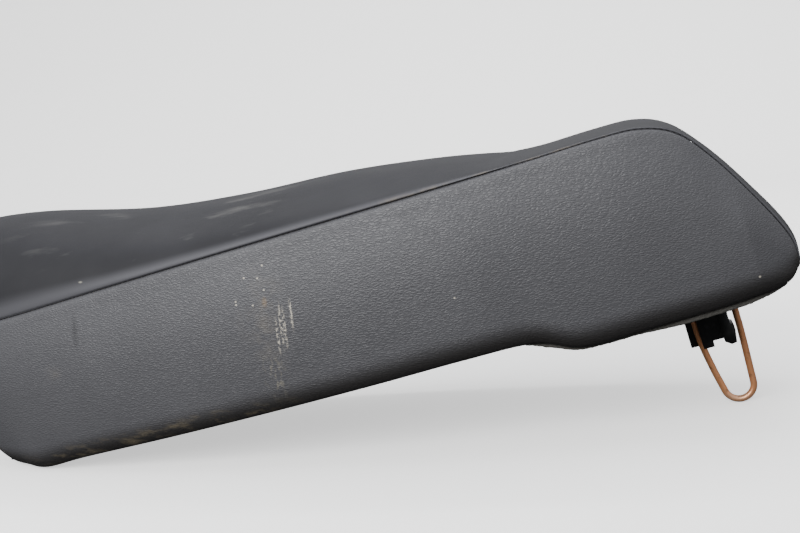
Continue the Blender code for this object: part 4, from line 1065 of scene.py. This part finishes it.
# ---- Guide block ---------------------------------------------------------------------
# Injection-moulded black nylon: an ear, a post and a tongue that steer the latch on to the
# wire. Its edges are slightly rounded by the mould and polished by the latch.
# Black nylon: a soft gloss with fine scratches where the latch slides.
nylon, tree, shader, place = new_finish("moulded_black_nylon", "#161617", 0.36, specular=0.5)
scratches = add_node(tree, "ShaderNodeTexNoise",
                     {"Vector": set_place(tree, place, (0.0, 0.0, 0.0), 0.0, (9.0, 9.0, 0.6)),
                      "Scale": scale_for(2.381), "Detail": 3.0})
bumped(tree, shader, scratches.outputs[0], 0.00010, 0.5)
worn = laid_on(tree, linear("#141415"), "#2b2b2c", [speckle(tree, place, 6.25, 0.52, 0.75)])
tree.links.new(worn, shader.inputs["Base Color"])


def eased(node, name, finish, body, width, segments=2):
    """A CAD piece with its edges eased, in its real finish."""
    work = copied(node)
    sharp = [edge for edge in work.edges
             if len(edge.link_faces) == 2 and edge.calc_face_angle() > math.radians(38)]
    bmesh.ops.bevel(work, geom=sharp, offset=width, segments=segments, profile=0.5,
                    affect="EDGES", clamp_overlap=True, material=-1)
    for face in work.faces:
        face.smooth = True
    made = object_from(work, name, finish)
    made.data.set_sharp_from_angle(angle=math.radians(42))
    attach(made, body)
    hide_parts(node)
    return made


eased("guide_block", "latch_guide", nylon, "seat", 0.0005)

# ---- Striker plate, nuts and screws --------------------------------------------------
# Zinc-plated steel. The plate spreads the latch's pull over the pan, the nuts clamp the
# wire's threaded ends, and two self-tapping screws hold the guide block.
# Zinc plating: bright grey with a faint yellow passivation; fine crystals drawn at 1.1 mm.
zinc, tree, shader, place = new_finish("zinc_plated_steel", "#b0b1ac", 0.38, 1.0)
spangle = add_node(tree, "ShaderNodeTexVoronoi", {"Vector": place, "Scale": scale_for(1.1111)})
passivated = laid_on(tree, linear("#9c9d98"), "#c3c3bb", [spangle.outputs["Color"]])
passivated = laid_on(tree, passivated, "#b8a878", [speckle(tree, place, 16.67, 0.45, 0.7)], 0.3)
tree.links.new(passivated, shader.inputs["Base Color"])
bumped(tree, shader, spangle.outputs["Distance"], 0.00005, 0.3)
eased("striker_plate", "backing_plate", zinc, "seat", 0.0003)
for end in ("front", "rear"):
    eased("striker_nut_" + end, "wire_nut_" + end, zinc, "seat", 0.0003)
for side in ("left", "right"):
    eased("guide_screw_" + side, "tapping_screw_" + side, zinc, "seat", 0.0002)

# ---- Front hinge ---------------------------------------------------------------------
# Two leaves of 3 mm pressed steel, black electro-coated, on a zinc-plated pin that a clip
# keeps. A nylon tube fills the space between the ears, and two bolts hold the seat's leaf.
# Electro-coat: even satin black over steel, chipped to grey where it is knocked.
coat, tree, shader, place = new_finish("electro_coated_steel", "#202022", 0.40, specular=0.5)
orange = add_node(tree, "ShaderNodeTexNoise", {"Vector": place,
                                               "Scale": scale_for(1.1111), "Detail": 1.0})
bumped(tree, shader, orange.outputs[0], 0.00006, 0.5)
coated = laid_on(tree, linear("#1d1d1f"), "#75726b", [speckle(tree, place, 7.692, 0.62, 0.68),
                                                      speckle(tree, place, 35.7, 0.5, 0.6)])
tree.links.new(coated, shader.inputs["Base Color"])
# Natural nylon: milky off-white with a soft gloss.
tube_nylon, tree, shader, place = new_finish("natural_nylon", "#d9d3c2", 0.45, specular=0.5)
milky = add_node(tree, "ShaderNodeTexNoise", {"Vector": place,
                                              "Scale": scale_for(8.333), "Detail": 2.0})
clouded = laid_on(tree, linear("#cfc8b4"), "#e2ddcf", [milky.outputs[0]])
tree.links.new(clouded, shader.inputs["Base Color"])
eased("hinge_seat_leaf", "seat_leaf", coat, "seat", 0.0004)
eased("hinge_frame_leaf", "frame_leaf", coat, "frame_bracket", 0.0004)
eased("hinge_spacer", "pivot_tube", tube_nylon, "frame_bracket", 0.0002)
eased("hinge_pin", "pivot_pin", zinc, "frame_bracket", 0.0002)
eased("hinge_clip", "pin_clip", zinc, "frame_bracket", 0.0001)
for number in ("1", "2"):
    eased("hinge_bolt_" + number, "leaf_bolt_" + number, zinc, "seat", 0.0002)
    eased("hinge_nut_" + number, "leaf_nut_" + number, zinc, "seat", 0.0003)

# ---- Rubber bumpers ------------------------------------------------------------------
# Six moulded buttons with a peg that pops through the pan. The seat rests on them, and
# their faces are greyed where they touch the vehicle.
# Moulded rubber: matt black with a dry skin, greyed by contact.
button_rubber, tree, shader, place = new_finish("moulded_rubber", "#1d1d1d", 0.78, specular=0.3)
skinned = add_node(tree, "ShaderNodeTexNoise", {"Vector": place,
                                                "Scale": scale_for(2.0), "Detail": 3.0})
bumped(tree, shader, skinned.outputs[0], 0.00015, 0.6)
greyed = laid_on(tree, linear("#191919"), "#3a3936", [speckle(tree, place, 11.11, 0.48, 0.8)])
tree.links.new(greyed, shader.inputs["Base Color"])
for place_name in ("front", "middle", "rear"):
    for side in ("left", "right"):
        eased("bumper_%s_%s" % (place_name, side), "buffer_%s_%s" % (place_name, side),
              button_rubber, "seat", 0.0006)

size = {"cad": [list(corner) for corner in cad_box],
        "visual": [list(corner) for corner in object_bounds()]}
